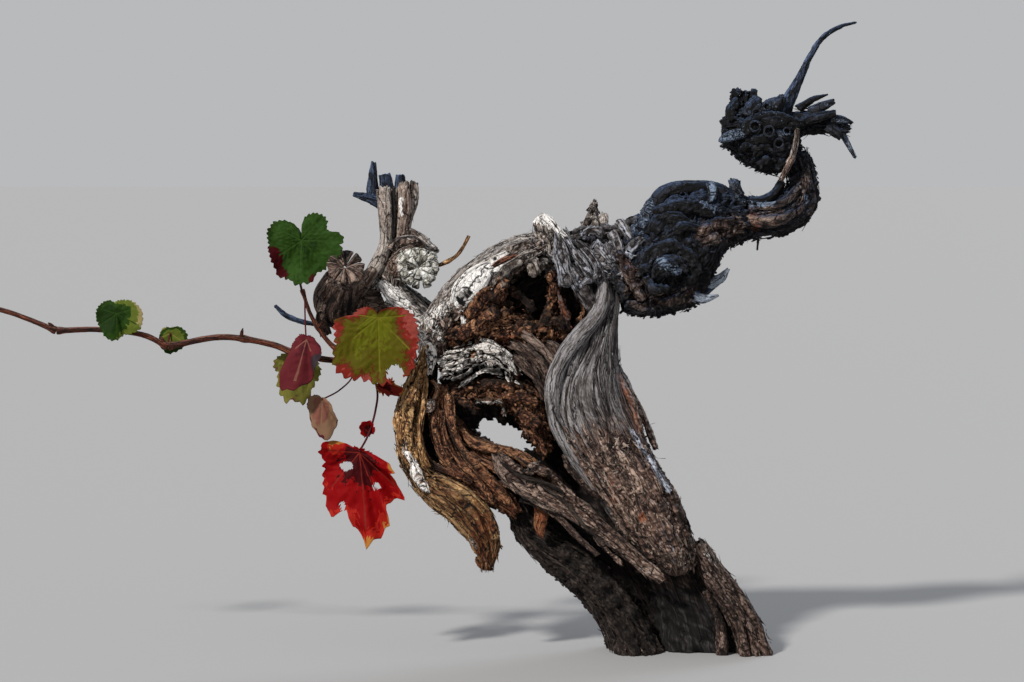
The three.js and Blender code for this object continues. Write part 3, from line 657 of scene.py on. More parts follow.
trunk = {
    "path": [
        (-22, -14, 80, 8, 10), (-25, -13, 91, 20, 22), (-34, -12, 107, 29, 32), (-46, -11, 128, 35, 38), (-60, -10, 156, 37, 41),
        (-85, -9, 196, 40, 43), (-107, -9, 236, 44, 42), (-114, -8, 271, 36, 36), (-102, -3, 310, 21, 28), (-96, 3, 347, 14, 24),
        (-95, 8, 387, 15, 22),
    ],
    "flat": (1, 0, 0), "bark": "smooth", "strength": 1.1, "cell": 1.8,
    "ribs": [
        {"lines": [[(-99, -16, 386, 6, 7), (-97, -20, 366, 7, 7), (-103, -24, 344, 8, 8), (-118, -28, 325, 9, 9), (-134, -30, 305, 9, 10),
                    (-144, -32, 284, 9, 10), (-147, -32, 260, 9, 10), (-144, -32, 234, 8, 9), (-130, -32, 206, 7, 8), (-111, -29, 178, 6, 6),
                    (-95, -22, 152, 4, 4), (-78, -12, 125, 2, 2)]],
         "bark": "smooth", "strength": 0.9, "tear": 1, "edge": 0.9},
        {"lines": [[(-88, -8, 370, 6, 6), (-88, -12, 346, 7, 7), (-95, -18, 316, 8, 8), (-98, -24, 287, 9, 8), (-91, -26, 257, 9, 8),
                    (-83, -24, 227, 6, 6), (-73, -16, 205, 3, 3)],
                   [(-111, -24, 327, 4, 4), (-123, -28, 305, 5, 5), (-129, -32, 280, 5, 5), (-125, -34, 248, 5, 5), (-111, -32, 214, 4, 5),
                    (-93, -26, 188, 3, 3)]],
         "bark": "smooth", "strength": 1, "tear": 2, "edge": 0.9},
        # this rib at the foot is painted almost black: painted shade under the trunk's overhang
        {"lines": [[(10, 26, -15, 50, 36), (0, 24, 25, 42, 34), (-15, 22, 65, 36, 32), (-38, 20, 110, 34, 32),
                    (-62, 12, 150, 30, 30)]],
         "bark": "crumbly", "strength": 1, "painted_shade": 0.8, "flat": (1, 0, 0), "cell": 2.8},
        {"lines": [[(-86, -12, 294, 2, 3), (-81, -16, 276, 4, 4), (-69, -20, 255, 4, 4), (-59, -20, 225, 3, 3)],
                   [(-82, -4, 289, 2, 3), (-70, -6, 264, 4, 4), (-54, -8, 232, 4, 4), (-44, -8, 206, 3, 3)],
                   [(-75, -26, 245, 2, 2), (-67, -30, 222, 4, 3), (-56, -32, 197, 4, 3), (-42, -32, 171, 3, 2)]],
         "bark": "flaky", "tear": 3, "rust": 0.3, "cell": 1.3},
        {"seams": (20, (10, 150), (0.03, 0.55), (7, 4)), "bark": "flaky", "strength": 1.1, "tear": 3, "brown": 0.95,
         "edge": 0.5, "cell": 1.7},
        {"seams": (9, (30, 130), (0.03, 0.3), (6, 4)), "bark": "crumbly", "strength": 0.8, "tear": 4, "brown": 1,
         "edge": 0.5, "cell": 1.7},
    ],
    "strips": [
        {**longFibres, "count": 40, "from": (0.3, 0.7), "drift": 0.12, "peel": 0.3},
        {**shortFlakes, "count": 200, "from": (0.02, 0.5), "around": (-100, 160), "peel": 1.6, "brown": 0.9},
        {**shortFlakes, "count": 26, "from": (0.45, 0.72), "width": (3, 7), "peel": 4, "around": (-50, 10)},
        {"count": 14, "from": (0.05, 0.6), "length": (8, 20), "width": (0.7, 1.2), "thick": (0.6, 1), "lift": 0.5,
         "peel": 9, "around": (-30, 20), "drift": 0.6},
    ],
    "chunks": [{**crumbs, "count": 900, "from": (0.02, 0.5), "around": (0, 180), "size": (1.5, 6), "brown": 0.9}],
    "bleach": [(-69, 226, -59, 209, 2.5, 1.1), (-59, 209, -49, 195, 3, 1.1), (-49, 195, -33, 169, 3, 1.2),
               (-41, 127, -16, 97, 14, 0.3), (-118, 311, -140, 276, 5, 0.25)],
    "rust": [(-61, 145, -58, 139, 4, 0.8), (-82, 281, -61, 226, 5, 0.6), (-92, 187, -88, 157, 4, 0.5), (-76, 202, -69, 187, 4, 0.5)],
    # the near-black streaks here are painted shadow on the trunk's underside and the cave below it
    "painted_shade": [(-140, 57, -1, 18, 52, 0.9), (-79, 187, -75, 175, 4, 0.5)],
    "brown": [(-11, 97, -61, 177, 48, 1), (-61, 177, -85, 207, 34, 0.75), (-46, 187, -71, 256, 12, 0.7)],
}
woodLimb("trunk", "heartwood", trunk)

rootRight = {
    "path": [(60, -4, -15, 20, 22), (50, -6, 20, 16, 18), (33, -9, 54, 14, 16), (12, -12, 84, 12, 14),
             (-4, -10, 112, 9, 11)],
    "bark": "flaky", "tear": (0, 4),
    "ribs": [{"lines": [[(48, -22, -15, 6, 6), (40, -24, 25, 5, 5), (24, -26, 56, 5, 5), (4, -26, 84, 4, 4)],
                        [(70, -16, -15, 7, 7), (60, -18, 22, 5, 5), (42, -20, 56, 4, 4), (22, -20, 84, 4, 4)],
                        [(22, -14, -15, 8, 8), (22, -16, 18, 6, 6), (16, -18, 44, 4, 4), (4, -22, 66, 3, 3)]]}],
    "strips": [{**longFibres, "count": 40, "length": (20, 70), "peel": 3}, {**shortFlakes, "count": 60}],
    "chunks": [{**crumbs, "count": 40}],
    "bleach": [(5, 104, 15, 95, 4, 0.4)],
}
rootLeft = {
    "path": [(-58, 14, -15, 30, 42), (-76, 15, 28, 23, 36), (-100, 17, 62, 22, 31), (-134, 18, 92, 21, 27),
             (-168, 17, 120, 17, 22), (-184, 15, 146, 10, 16)],
    "bark": "crumbly", "tear": (0, 6),
    "strips": [{**longFibres, "count": 34, "peel": 2}, {**shortFlakes, "count": 60}],
    "chunks": [{**crumbs, "count": 100}],
    # the near-black streak is painted shadow over the root's inner side by the dark cave
    "painted_shade": [(-170, 150, -50, 0, 80, 0.85)],
}
rootBack = {
    "path": [(-4, 62, -15, 36, 24), (-14, 56, 28, 27, 19), (-38, 50, 84, 22, 15), (-66, 46, 140, 18, 12)],
    "bark": "stringy", "strips": [{**longFibres, "count": 20}, {**shortFlakes, "count": 30}],
}
woodLimb("root_right", "oldBark", rootRight)
woodLimb("root_left", "oldBark", rootLeft)
woodLimb("root_back", "oldBark", rootBack)

hollowFoot = {
    "path": [(-20, 44, -15, 46, 22), (-48, 44, 28, 42, 21), (-80, 42, 72, 38, 21), (-112, 42, 126, 50, 20)],
    "flat": (1, 0, 0), "cup": 18, "bark": "crumbly", "cell": 2.6,
    "strips": [{**longFibres, "count": 30}],
    # the near-black streak is painted shadow inside the hollow foot
    "painted_shade": [(-20, 0, -112, 118, 120, 0.95)],
}
hollowWall = {
    "path": [(-112, 42, 112, 50, 20), (-146, 43, 170, 66, 18), (-170, 44, 222, 78, 18), (-178, 44, 272, 82, 20),
             (-170, 42, 322, 78, 24), (-140, 38, 366, 58, 27), (-112, 32, 400, 36, 26)],
    "flat": (1, 0, 0), "cup": 22, "bark": "crumbly", "cell": 2.47,
    "hole": {"x": -196, "z": 215, "halfLength": 33, "halfHeight": 13, "dip": 24},
    "ribs": [
        # these ribs inside the hollow are painted nearly black: painted shade
        {"lines": [[(-269, 22, 291, 8, 10), (-273, 22, 261, 10, 11), (-275, 20, 227, 10, 11), (-267, 14, 195, 9, 10), (-252, 8, 176, 7, 8),
                    (-228, 6, 162, 6, 7), (-204, 6, 148, 5, 6)],
                   [(-255, 24, 303, 12, 12), (-230, 28, 341, 16, 14), (-200, 28, 374, 14, 14), (-168, 26, 392, 12, 12)]],
         "bark": "crumbly", "painted_shade": 0.85, "tear": 3},
    ],
    "strips": [{**longFibres, "count": 60, "width": (3, 7), "from": (0.55, 0.9), "length": (40, 100)}],
    "rust": [(-125, 356, -140, 316, 30, 0.4)],
    # the broad near-black streak is painted shadow inside the hollow wall
    "painted_shade": [(-130, 120, -190, 330, 150, 0.88)],
}
woodLimb("hollow_foot", "oldBark", hollowFoot)
woodLimb("hollow_wall", "oldBark", hollowWall)
print("trunk made")

crown = {
    "path": [(-158, 12, 404, 12, 20), (-134, 12, 398, 23, 30), (-100, 13, 392, 28, 35), (-72, 14, 388, 34, 38)],
    "bark": "tangled", "cell": 1.7,
    "ribs": [
        {"lines": [[(-143, -20, 420, 3, 5), (-140, -26, 404, 8, 6), (-136, -29, 386, 8, 6), (-134, -29, 371, 8, 4)],
                   [(-134, -22, 418, 3, 5), (-126, -27, 404, 4, 6), (-116, -29, 390, 5, 6), (-108, -27, 375, 4, 5)],
                   [(-126, -20, 416, 3, 5), (-114, -24, 405, 5, 6), (-104, -25, 391, 5, 6), (-100, -23, 374, 5, 5)],
                   [(-104, -16, 413, 5, 4), (-97, -20, 404, 5, 5), (-89, -22, 394, 5, 5), (-84, -20, 384, 5, 4)],
                   [(-123, -26, 369, 1, 3), (-115, -29, 375, 4, 4), (-105, -27, 382, 4, 4)],
                   [(-133, -31, 394, 1.5, 3), (-129, -33, 383, 2.5, 3), (-123, -31, 369, 1.5, 2)]],
         "bark": "flaky", "strength": 0.5, "tear": 3.5, "bleach": 0.42, "cell": 1.2, "edge": 0.5},
        {"lines": [[(-125, -6, 419, 8, 8), (-110, -8, 423, 8, 8), (-94, -8, 422, 8, 8), (-78, -6, 426, 8, 8), (-62, -4, 430, 7, 8)]],
         "bark": "crumbly", "strength": 0.9, "tear": 2, "bleach": 0.1},
        {"lines": [[(-116, -16, 420, 5, 5), (-109, -20, 425, 5, 5), (-100, -16, 422, 5, 5)],
                   [(-88, -12, 423, 6, 5), (-83, -15, 410, 6, 6), (-81, -14, 398, 5, 5)],
                   [(-77, -18, 402, 6, 6), (-67, -19, 410, 7, 6), (-59, -14, 417, 5, 5)],
                   [(-82, -8, 433, 4, 4), (-75, -14, 423, 4, 4), (-69, -16, 412, 4, 4)],
                   [(-96, -14, 415, 3, 4), (-92, -18, 406, 4, 4), (-85, -18, 398, 3, 4)]],
         "bark": "flaky", "strength": 0.8, "tear": 3, "bleach": 0.38, "edge": 0.5, "cell": 1.3},
        {"lines": [[(-144, -18, 370, 4, 5), (-140, -22, 356, 4, 6), (-134, -22, 340, 4, 5), (-130, -18, 328, 3, 4)],
                   [(-122, -16, 366, 5, 6), (-112, -18, 352, 5, 7), (-107, -18, 336, 4, 5)]],
         "bark": "crumbly", "strength": 1, "tear": 3, "rust": 0.55, "edge": 0.5, "cell": 1.3},
    ],
    "strips": [{**longFibres, "count": 20, "length": (14, 40), "width": (3, 7), "peel": 3},
               {**shortFlakes, "count": 60, "peel": 4, "width": (3, 7)}],
    "chunks": [{**crumbs, "count": 400, "size": (2, 7), "spread": 0.7, "lift": (-1, 3)},
               {"count": 160, "size": (4, 10), "spread": 0.6, "lift": (0, 4), "bleach": 0.4, "around": (-20, 200)}],
    # the pale streaks on the crown are bleached wood and painted blue-grey highlights on its ridges
    "bleach": [(-118, 421, -104, 415, 4, 0.7), (-73, 406, -65, 400, 5, 0.7), (-144, 415, -138, 388, 3, 0.5), (-132, 415, -108, 392, 2.5, 0.4)],
    "rust": [(-73, 394, -69, 390, 4, 0.6), (-104, 401, -98, 394, 3, 0.5)],
    "painted_shade": [(-125, 415, -110, 412, 5, 0.7), (-110, 364, -100, 326, 10, 0.6), (-134, 374, -120, 356, 5, 0.6)],
}
peakLeft = {
    "path": [(-151, -6, 391, 8, 9), (-153, -8, 411, 12, 10), (-158, -8, 431, 9, 8), (-160, -7, 439, 4, 4)],
    "bark": "flaky", "cell": 1.17, "tear": (4, 1.5),
    "ribs": [{"lines": [[(-160, -13, 440, 3, 4), (-150, -16, 434, 4, 5), (-140, -18, 422, 4, 5), (-128, -19, 411, 3, 4)]],
              "bark": "stringy", "strength": 0.4, "bleach": 0.85}],
    "strips": [{**shortFlakes, "count": 20, "peel": 4}], "chunks": [{**crumbs, "count": 16}],
    "bleach": [(-163, 439, -154, 433, 7, 0.8), (-155, 415, -148, 406, 6, 0.4)],
    "painted_shade": [(-164, 427, -159, 425, 3, 0.7), (-150, 394, -144, 406, 4, 0.7)],
}
peakRight = {
    "path": [(-109, 2, 413, 15, 14), (-108, 2, 428, 9, 10), (-107, 1, 441, 4, 5), (-107, 0, 452, 1.2, 1.4)],
    "bark": "flaky", "cell": 1.2, "tear": (2, 1),
    "ribs": [{"lines": [[(-100, 0, 423, 6, 6), (-97, 0, 435, 5, 5), (-96, 0, 442, 3.5, 3.5)],
                        [(-118, -4, 419, 4, 4), (-113, -5, 433, 3, 3), (-109, -3, 447, 1.5, 1.5)],
                        [(-108, -8, 417, 4, 4), (-105, -8, 431, 3, 3), (-106, -5, 443, 1.5, 1.5)]], "bark": "flaky", "edge": 0.6}],
    "chunks": [{**crumbs, "count": 120, "size": (2, 6), "spread": 0.7, "lift": (-1, 3)}],
    "painted_shade": [(-111, 433, -107, 429, 4, 0.8)], "bleach": [(-100, 433, -94, 441, 4, 0.4)],
}
crownRib = {
    "path": [(-150, -18, 404, 6, 6), (-138, -24, 394, 7, 7), (-121, -25, 372, 8, 7), (-108, -22, 350, 7, 6)],
    "bark": "flaky", "strength": 0.6, "cell": 1.17, "tear": (3, 4), "edge": 0.6,
    "strips": [{**longFibres, "count": 12, "length": (16, 50), "peel": 2}],
    "bleach": [(-144, 394, -125, 372, 8, 0.6)],
}
woodLimb("crown", "heartwood", crown)
woodLimb("crown_peak_left", "bleached", peakLeft)
woodLimb("crown_peak_right", "bleached", peakRight)
woodLimb("crown_rib", "heartwood", crownRib)

shoulder = {
    "path": [(-152, 10, 414, 12, 28), (-195, 14, 393, 19, 42), (-234, 16, 363, 20, 48), (-260, 16, 327, 19, 44),
             (-268, 16, 298, 14, 32)],
    "bark": "flaky", "cell": 1.6,
    "ribs": [
        {"lines": [[(-168, -14, 413, 5, 6), (-188, -20, 406, 6, 6), (-208, -24, 394, 6, 6), (-230, -27, 376, 6, 6), (-249, -27, 356, 6, 5)],
                   [(-160, -18, 406, 5, 5), (-180, -26, 396, 6, 6), (-198, -30, 384, 6, 5), (-212, -30, 369, 5, 5)],
                   [(-269, -18, 344, 5, 5), (-263, -22, 330, 6, 5), (-259, -22, 315, 5, 5)],
                   [(-236, -30, 343, 4, 4), (-235, -31, 335, 4, 4), (-237, -29, 327, 3, 3)]],
         "bark": "flaky", "strength": 0.6, "tear": 2, "bleach": 0.2, "cell": 1.3, "edge": 0.6},
        {"lines": [[(-245, -29, 352, 6, 4), (-238, -32, 360, 12, 4), (-229, -34, 371, 14, 4), (-218, -34, 383, 11, 4), (-209, -30, 391, 5, 3)],
                   [(-216, -30, 388, 3, 3), (-204, -29, 397, 4, 3), (-192, -26, 404, 3, 3)],
                   [(-212, -33, 381, 3, 3), (-204, -33, 386, 3, 3), (-196, -30, 392, 2, 2)]],
         "bark": "smooth", "strength": 0.4, "tear": 3, "bleach": 1.6, "edge": 0.5, "cell": 1.1},
        {"lines": [[(-208, -31, 390, 2, 3), (-196, -31, 397, 3, 3), (-182, -27, 401, 2, 3)]],
         "bark": "stringy", "strength": 0.6, "tear": 2, "rust": 1.2, "edge": 0.6, "cell": 1.1},
        {"lines": [[(-172, -20, 400, 6, 6), (-166, -24, 390, 7, 6), (-164, -22, 380, 5, 5)], [(-160, -22, 398, 5, 5), (-155, -22, 390, 5, 5)]],
         "bark": "crumbly", "tear": 2, "strength": 1, "cell": 1.3},
        {"lines": [[(-214, -26, 364, 5, 5), (-200, -28, 374, 6, 5), (-186, -26, 386, 5, 5), (-172, -20, 394, 4, 4)],
                   [(-248, -22, 334, 5, 6), (-234, -26, 350, 6, 6), (-218, -28, 361, 5, 5)]],
         "bark": "crumbly", "tear": 4, "strength": 1.2, "cell": 1.4, "brown": 1, "rust": 0.3, "edge": 0.6},
    ],
    "strips": [{**longFibres, "count": 50, "length": (20, 90)}, {**shortFlakes, "count": 80}],
    "chunks": [{**crumbs, "count": 300, "around": (60, 200), "brown": 0.9, "size": (2, 7), "spread": 0.8, "lift": (-1, 4)}],
    "bleach": [(-272, 334, -256, 350, 8, 0.55), (-237, 342, -237, 328, 4, 1.3), (-268, 338, -260, 316, 6, 0.5),
               (-256, 352, -236, 374, 8, 0.3)],
    # the near-black streaks are painted shade in the shoulder's gaps and hollows
    "painted_shade": [(-241, 359, -237, 354, 3.5, 1.4), (-237, 357, -232, 361, 2, 1.2), (-232, 368, -228, 364, 2, 1.1),
             (-188, 381, -160, 356, 14, 0.7)],
    "brown": [(-260, 306, -180, 366, 18, 0.8)],
}
rottenUpper = {
    "path": [(-251, 0, 320, 14, 20), (-222, -4, 337, 25, 24), (-195, -6, 329, 18, 22), (-165, -4, 318, 12, 18), (-134, 2, 329, 13, 16)],
    "bark": "crumbly", "cell": 1.49, "strength": 1.3,
    "ribs": [
        {"lines": [[(-236, -29, 339, 8, 6), (-222, -32, 353, 8, 6), (-208, -33, 365, 8, 6), (-194, -30, 376, 6, 5)],
                   [(-247, -27, 323, 6, 6), (-234, -30, 327, 8, 6), (-218, -32, 339, 8, 6), (-204, -30, 351, 7, 6)],
                   [(-152, -22, 380, 4, 5), (-148, -22, 360, 5, 5), (-154, -22, 342, 5, 5), (-160, -22, 322, 5, 5)],
                   [(-138, -18, 356, 4, 5), (-136, -18, 338, 5, 5), (-144, -18, 320, 5, 5)]],
         "bark": "crumbly", "strength": 1.2, "tear": 4, "cell": 1.3, "rust": 0.2, "edge": 0.6},
        {"lines": [[(-242, -18, 338, 8, 8), (-226, -24, 350, 8, 7), (-208, -26, 358, 8, 7), (-194, -24, 368, 6, 6)],
                   [(-230, -22, 326, 8, 7), (-210, -27, 335, 8, 7), (-192, -26, 341, 7, 6)],
                   [(-214, -20, 316, 6, 6), (-194, -26, 323, 7, 6), (-176, -24, 327, 6, 6), (-160, -20, 330, 5, 5)],
                   [(-147, -14, 368, 6, 6), (-149, -16, 352, 6, 7), (-153, -18, 336, 6, 7), (-150, -18, 320, 6, 6)],
                   [(-138, -10, 356, 4, 5), (-140, -12, 336, 5, 5), (-134, -14, 316, 5, 5)],
                   [(-120, -10, 360, 3, 4), (-117, -12, 344, 4, 5), (-124, -14, 326, 4, 5)],
                   [(-154, -24, 331, 4, 4), (-144, -27, 335, 5, 4), (-137, -25, 327, 5, 4)],
                   [(-188, -16, 364, 4, 4), (-176, -18, 356, 4, 4), (-168, -18, 344, 4, 4)]],
         "bark": "crumbly", "strength": 1.1, "tear": 3, "cell": 1.37},
    ],
    "strips": [{**shortFlakes, "count": 160, "peel": 6, "width": (2, 5), "around": (0, 180), "drift": 1.2},
               {**longFibres, "count": 30, "length": (20, 50), "peel": 5, "around": (20, 160), "drift": 0.8}],
    "chunks": [{**crumbs, "count": 600, "size": (2, 6), "spread": 0.8, "lift": (-1, 4)},
               {"count": 120, "size": (3, 8), "spread": 0.7, "lift": (0, 9), "around": (0, 180), "rust": 0.15}],
    # the dents and near-black streaks are painted shade in the dark holes of the decayed face
    "dents": [(-170, 366, -160, 341, 14, 12), (-125, 356, -130, 331, 9, 10)],
    "rust": [(-220, 356, -160, 326, 30, 0.25), (-200, 314, -188, 318, 6, 0.6)],
    "painted_shade": [(-178, 376, -162, 344, 12, 1), (-128, 360, -130, 330, 7, 1), (-210, 358, -202, 352, 6, 0.7), (-200, 344, -192, 348, 5, 0.7)],
}
rottenLower = {
    "path": [(-252, 0, 263, 9, 14), (-230, 0, 267, 11, 15), (-200, -2, 265, 12, 16), (-176, -2, 255, 17, 17), (-163, 0, 230, 13, 16),
             (-154, 2, 202, 7, 12)],
    "bark": "crumbly", "cell": 1.43, "strength": 1.2,
    "ribs": [
        {"lines": [[(-226, -14, 253, 3, 4), (-212, -19, 257, 3, 4), (-199, -20, 253, 3, 4), (-195, -16, 241, 3, 3)],
                   [(-248, -12, 258, 5, 5), (-234, -15, 254, 5, 5), (-224, -12, 246, 3, 3)],
                   [(-224, -16, 272, 5, 5), (-206, -20, 273, 6, 5), (-188, -20, 271, 5, 5)],
                   [(-196, -18, 261, 6, 6), (-180, -20, 259, 7, 6), (-164, -18, 253, 5, 5)],
                   [(-184, -18, 245, 7, 6), (-172, -20, 237, 8, 6), (-162, -18, 225, 6, 6)],
                   [(-170, -16, 227, 5, 5), (-162, -16, 215, 5, 5), (-156, -14, 201, 3, 4)]],
         "bark": "crumbly", "strength": 1, "tear": 2.5, "cell": 1.3},
    ],
    "strips": [{**shortFlakes, "count": 80, "peel": 5}],
    "chunks": [{**crumbs, "count": 420, "size": (2, 5), "spread": 0.8, "lift": (-1, 3)},
               {"count": 60, "size": (3, 7), "spread": 0.7, "lift": (0, 6), "around": (0, 180)}],
    "bleach": [(-222, 254, -200, 254, 3, 0.6), (-198, 248, -196, 240, 3, 0.5), (-186, 232, -172, 222, 3, 0.4)],
    "rust": [(-200, 260, -160, 216, 22, 0.35)],
    "painted_shade": [(-245, 251, -224, 240, 8, 0.9), (-260, 272, -180, 278, 6, 0.8), (-180, 264, -170, 266, 4, 0.7)],
}
arch = {
    "path": [(-260, -10, 288, 5, 8), (-238, -13, 296, 7, 9), (-215, -15, 301, 7, 10), (-195, -13, 292, 6, 9), (-181, -10, 278, 4, 7)],
    "bark": "crumbly", "cell": 1.3, "tear": (3, 3),
    "ribs": [
        {"lines": [[(-264, -14, 294, 1, 3), (-252, -22, 299, 3, 4), (-240, -25, 302, 3, 4), (-230, -26, 307, 2, 4)],
                   [(-256, -18, 303, 1, 3), (-246, -24, 306, 2, 3), (-236, -27, 307, 2, 3)],
                   [(-234, -22, 306, 2, 3), (-220, -27, 311, 3.5, 4), (-206, -27, 308, 3.5, 4), (-194, -24, 298, 3, 4), (-184, -19, 285, 2, 3)],
                   [(-224, -24, 317, 1, 3), (-212, -28, 317, 2.5, 3), (-200, -28, 311, 2.5, 3), (-190, -25, 302, 1.5, 3)],
                   [(-260, -18, 278, 1, 3), (-250, -22, 285, 2.5, 4), (-240, -25, 289, 3, 4), (-232, -26, 295, 2, 3)],
                   [(-234, -22, 293, 2, 3), (-222, -28, 299, 3, 4), (-210, -28, 300, 3, 4), (-197, -24, 290, 2, 4)]],
         "bark": "flaky", "strength": 0.8, "tear": 4, "bleach": 0.85, "cell": 1.1, "edge": 0.5},
        {"lines": [[(-242, -14, 268, 1, 3), (-232, -20, 276, 2.5, 3), (-224, -22, 282, 2, 3)],
                   [(-224, -20, 283, 2, 3), (-211, -24, 287, 2.5, 3), (-198, -21, 282, 1.5, 2)],
                   [(-253, -24, 291, 1, 2), (-241, -29, 295, 2, 2), (-230, -30, 299, 1.5, 2)],
                   [(-248, -22, 277, 1, 2), (-238, -26, 281, 1.5, 2), (-228, -27, 287, 1, 2)],
                   [(-216, -29, 306, 1, 2), (-204, -31, 303, 2, 2), (-194, -28, 293, 1.5, 2)]],
         "bark": "flaky", "strength": 0.7, "tear": 3, "bleach": 0.7, "cell": 1.1, "edge": 0.5},
    ],
    "strips": [{**shortFlakes, "count": 80, "peel": 5, "length": (5, 15), "width": (1.2, 3), "bleach": 1.0,
                "around": (0, 180), "lift": 3}],
    "chunks": [{**crumbs, "count": 120, "size": (2, 6), "bleach": 0.75, "lift": (2, 9), "around": (0, 180)}],
    # the near-black lines are painted shade in the gaps between the arch's ribs
    "painted_shade": [(-255, 272, -220, 290, 3, 1), (-220, 290, -188, 280, 3, 1), (-234, 300, -228, 294, 3, 1),
             (-258, 296, -236, 304, 1.5, 1), (-222, 304, -196, 302, 1.5, 1)],
}
plate = {
    "path": [(-194, -16, 321, 5, 6), (-178, -21, 310, 9, 7), (-163, -23, 295, 12, 8), (-155, -21, 275, 11, 9), (-152, -18, 257, 6, 8)],
    "bark": "stringy", "cell": 1.3, "tear": (3, 5),
    "ribs": [
        {"lines": [[(-196, -22, 323, 3, 3), (-186, -27, 326, 4, 3), (-168, -31, 317, 5, 3), (-151, -32, 301, 5, 3), (-142, -30, 283, 3, 3)],
                   [(-190, -25, 313, 4, 3), (-174, -31, 305, 5, 3), (-158, -33, 292, 5, 3), (-150, -30, 274, 4, 3)],
                   [(-188, -24, 301, 4, 3), (-174, -30, 289, 5, 3), (-160, -31, 274, 4, 3), (-154, -27, 259, 3, 3)],
                   [(-155, -18, 314, 4, 4), (-145, -23, 307, 6, 4), (-139, -25, 291, 5, 4), (-143, -24, 273, 3, 4)]],
         "bark": "stringy", "strength": 0.6, "tear": 3, "cell": 1.17},
    ],
    "strips": [{**longFibres, "count": 20, "length": (16, 50), "peel": 2}],
    "bleach": [(-185, 288, -176, 282, 4, 0.7), (-194, 324, -184, 325, 3, 0.5)],
    "painted_shade": [(-170, 310, -144, 284, 3, 0.6)],
}
holeLip = {
    "path": [(-250, 6, 236, 8, 14), (-237, 6, 216, 10, 18), (-216, 4, 202, 12, 20), (-188, 4, 191, 11, 20), (-155, 4, 173, 12, 20),
             (-128, 6, 142, 12, 18)],
    "bark": "stringy", "cell": 1.56,
    "ribs": [
        {"lines": [[(-238, -12, 226, 4, 5), (-226, -16, 213, 5, 5), (-208, -18, 209, 6, 5), (-190, -18, 205, 6, 5), (-172, -17, 195, 6, 5),
                    (-154, -16, 181, 5, 5)],
                   [(-230, -16, 201, 4, 5), (-214, -19, 193, 5, 5), (-200, -19, 185, 5, 5)]],
         "bark": "stringy", "strength": 1, "tear": 2, "rust": 0.2},
        {"lines": [[(-173, -21, 186, 1.5, 1.5), (-167, -23, 191, 3, 2), (-159, -23, 196, 1, 1)], [(-158, -20, 183, 2, 2), (-154, -20, 185, 2, 2)]],
         "bark": "flaky", "tear": 2, "strength": 0.5, "bleach": 0.62, "edge": 0.5, "cell": 1},
    ],
    "strips": [{**longFibres, "count": 30, "length": (16, 70)}, {**shortFlakes, "count": 30}],
    "chunks": [{**crumbs, "count": 50}],
    "painted_shade": [(-140, 157, -110, 127, 26, 0.9), (-160, 187, -140, 167, 10, 0.7)],
}
flake = {
    "path": [(-162, -8, 162, 6, 5), (-159, -18, 143, 7, 4), (-160, -19, 130, 6, 3), (-159, -18, 120, 3, 2)],
    "bark": "twig", "strength": 2, "cell": 1.04, "tear": (0, 4),
    "strips": [{**longFibres, "count": 14, "length": (10, 26), "peel": 1.5}],
    "rust": [(-159, 157, -159, 119, 12, 0.7)],
}
woodLimb("shoulder", "bleached", shoulder)
woodLimb("rotten_upper", "rotten", rottenUpper)
woodLimb("rotten_lower", "rotten", rottenLower)
woodLimb("bleached_arch", "rotten", arch)
woodLimb("layered_plate", "oldBark", plate)
woodLimb("hole_lip", "rotten", holeLip)
woodLimb("flake", "rotten", flake)

strapUpper = {
    "path": [(-271, -20, 311, 3, 5), (-278, -15, 290, 7, 10), (-285, -13, 268, 10, 13), (-292, -13, 244, 12, 15), (-292, -14, 220, 12, 16),
             (-288, -14, 197, 12, 16), (-277, -14, 177, 12, 15)],
    "bark": "flaky", "cell": 1.24, "tear": (2, 0), "strength": 1.1,
    "ribs": [
        {"lines": [[(-285, -21, 327, 1, 2), (-279, -22, 322, 4, 3), (-272, -22, 314, 6, 3), (-268, -21, 301, 5, 3), (-270, -18, 282, 3, 3)],
                   [(-275, -18, 320, 2, 3), (-269, -18, 311, 3, 3), (-267, -18, 296, 3, 3)]],
         "bark": "flaky", "strength": 0.5, "tear": 2.5, "bleach": 1.1, "cell": 0.9, "edge": 0.55},
        {"lines": [[(-273, -24, 279, 2, 3), (-275, -26, 257, 3, 3), (-279, -28, 233, 3, 3), (-279, -29, 210, 3, 4), (-271, -28, 190, 3, 4)],
                   [(-295, -24, 257, 3, 3), (-299, -26, 233, 3, 4), (-297, -27, 208, 3, 4), (-287, -27, 186, 3, 4)]],
         "bark": "stringy", "tear": 1, "edge": 0.7},
        {"seams": (12, (0, 180), (0.1, 1), (3.4, 2.6)), "bark": "flaky", "tear": 3, "edge": 0.5, "cell": 1.2},
        {"lines": [[(-294, -28, 212, 1, 2), (-292, -30, 203, 4, 3), (-287, -31, 196, 3.4, 3), (-283, -31, 185, 6, 3),
                    (-276, -30, 172, 5, 3), (-272, -29, 166, 2, 2)],
                   [(-284, -30, 200, 1, 2), (-281, -31, 190, 2.4, 2), (-278, -31, 181, 1, 2)]],
         "bark": "flaky", "strength": 0.9, "tear": 4, "bleach": 0.9, "edge": 0.4, "cell": 0.9},
    ],
    "strips": [{**longFibres, "count": 40, "length": (16, 60)}, {**shortFlakes, "count": 110, "peel": 2.5}],
    "chunks": [{**crumbs, "count": 240, "size": (1.5, 5)}],
    "bleach": [(-294, 216, -295, 205, 3, 0.5), (-281, 274, -287, 256, 5, 0.3)],
    "painted_shade": [(-299, 199, -287, 173, 3, 0.8), (-283, 256, -287, 216, 2, 0.6)],
    "rust": [(-291, 261, -295, 216, 8, 0.35)],
}
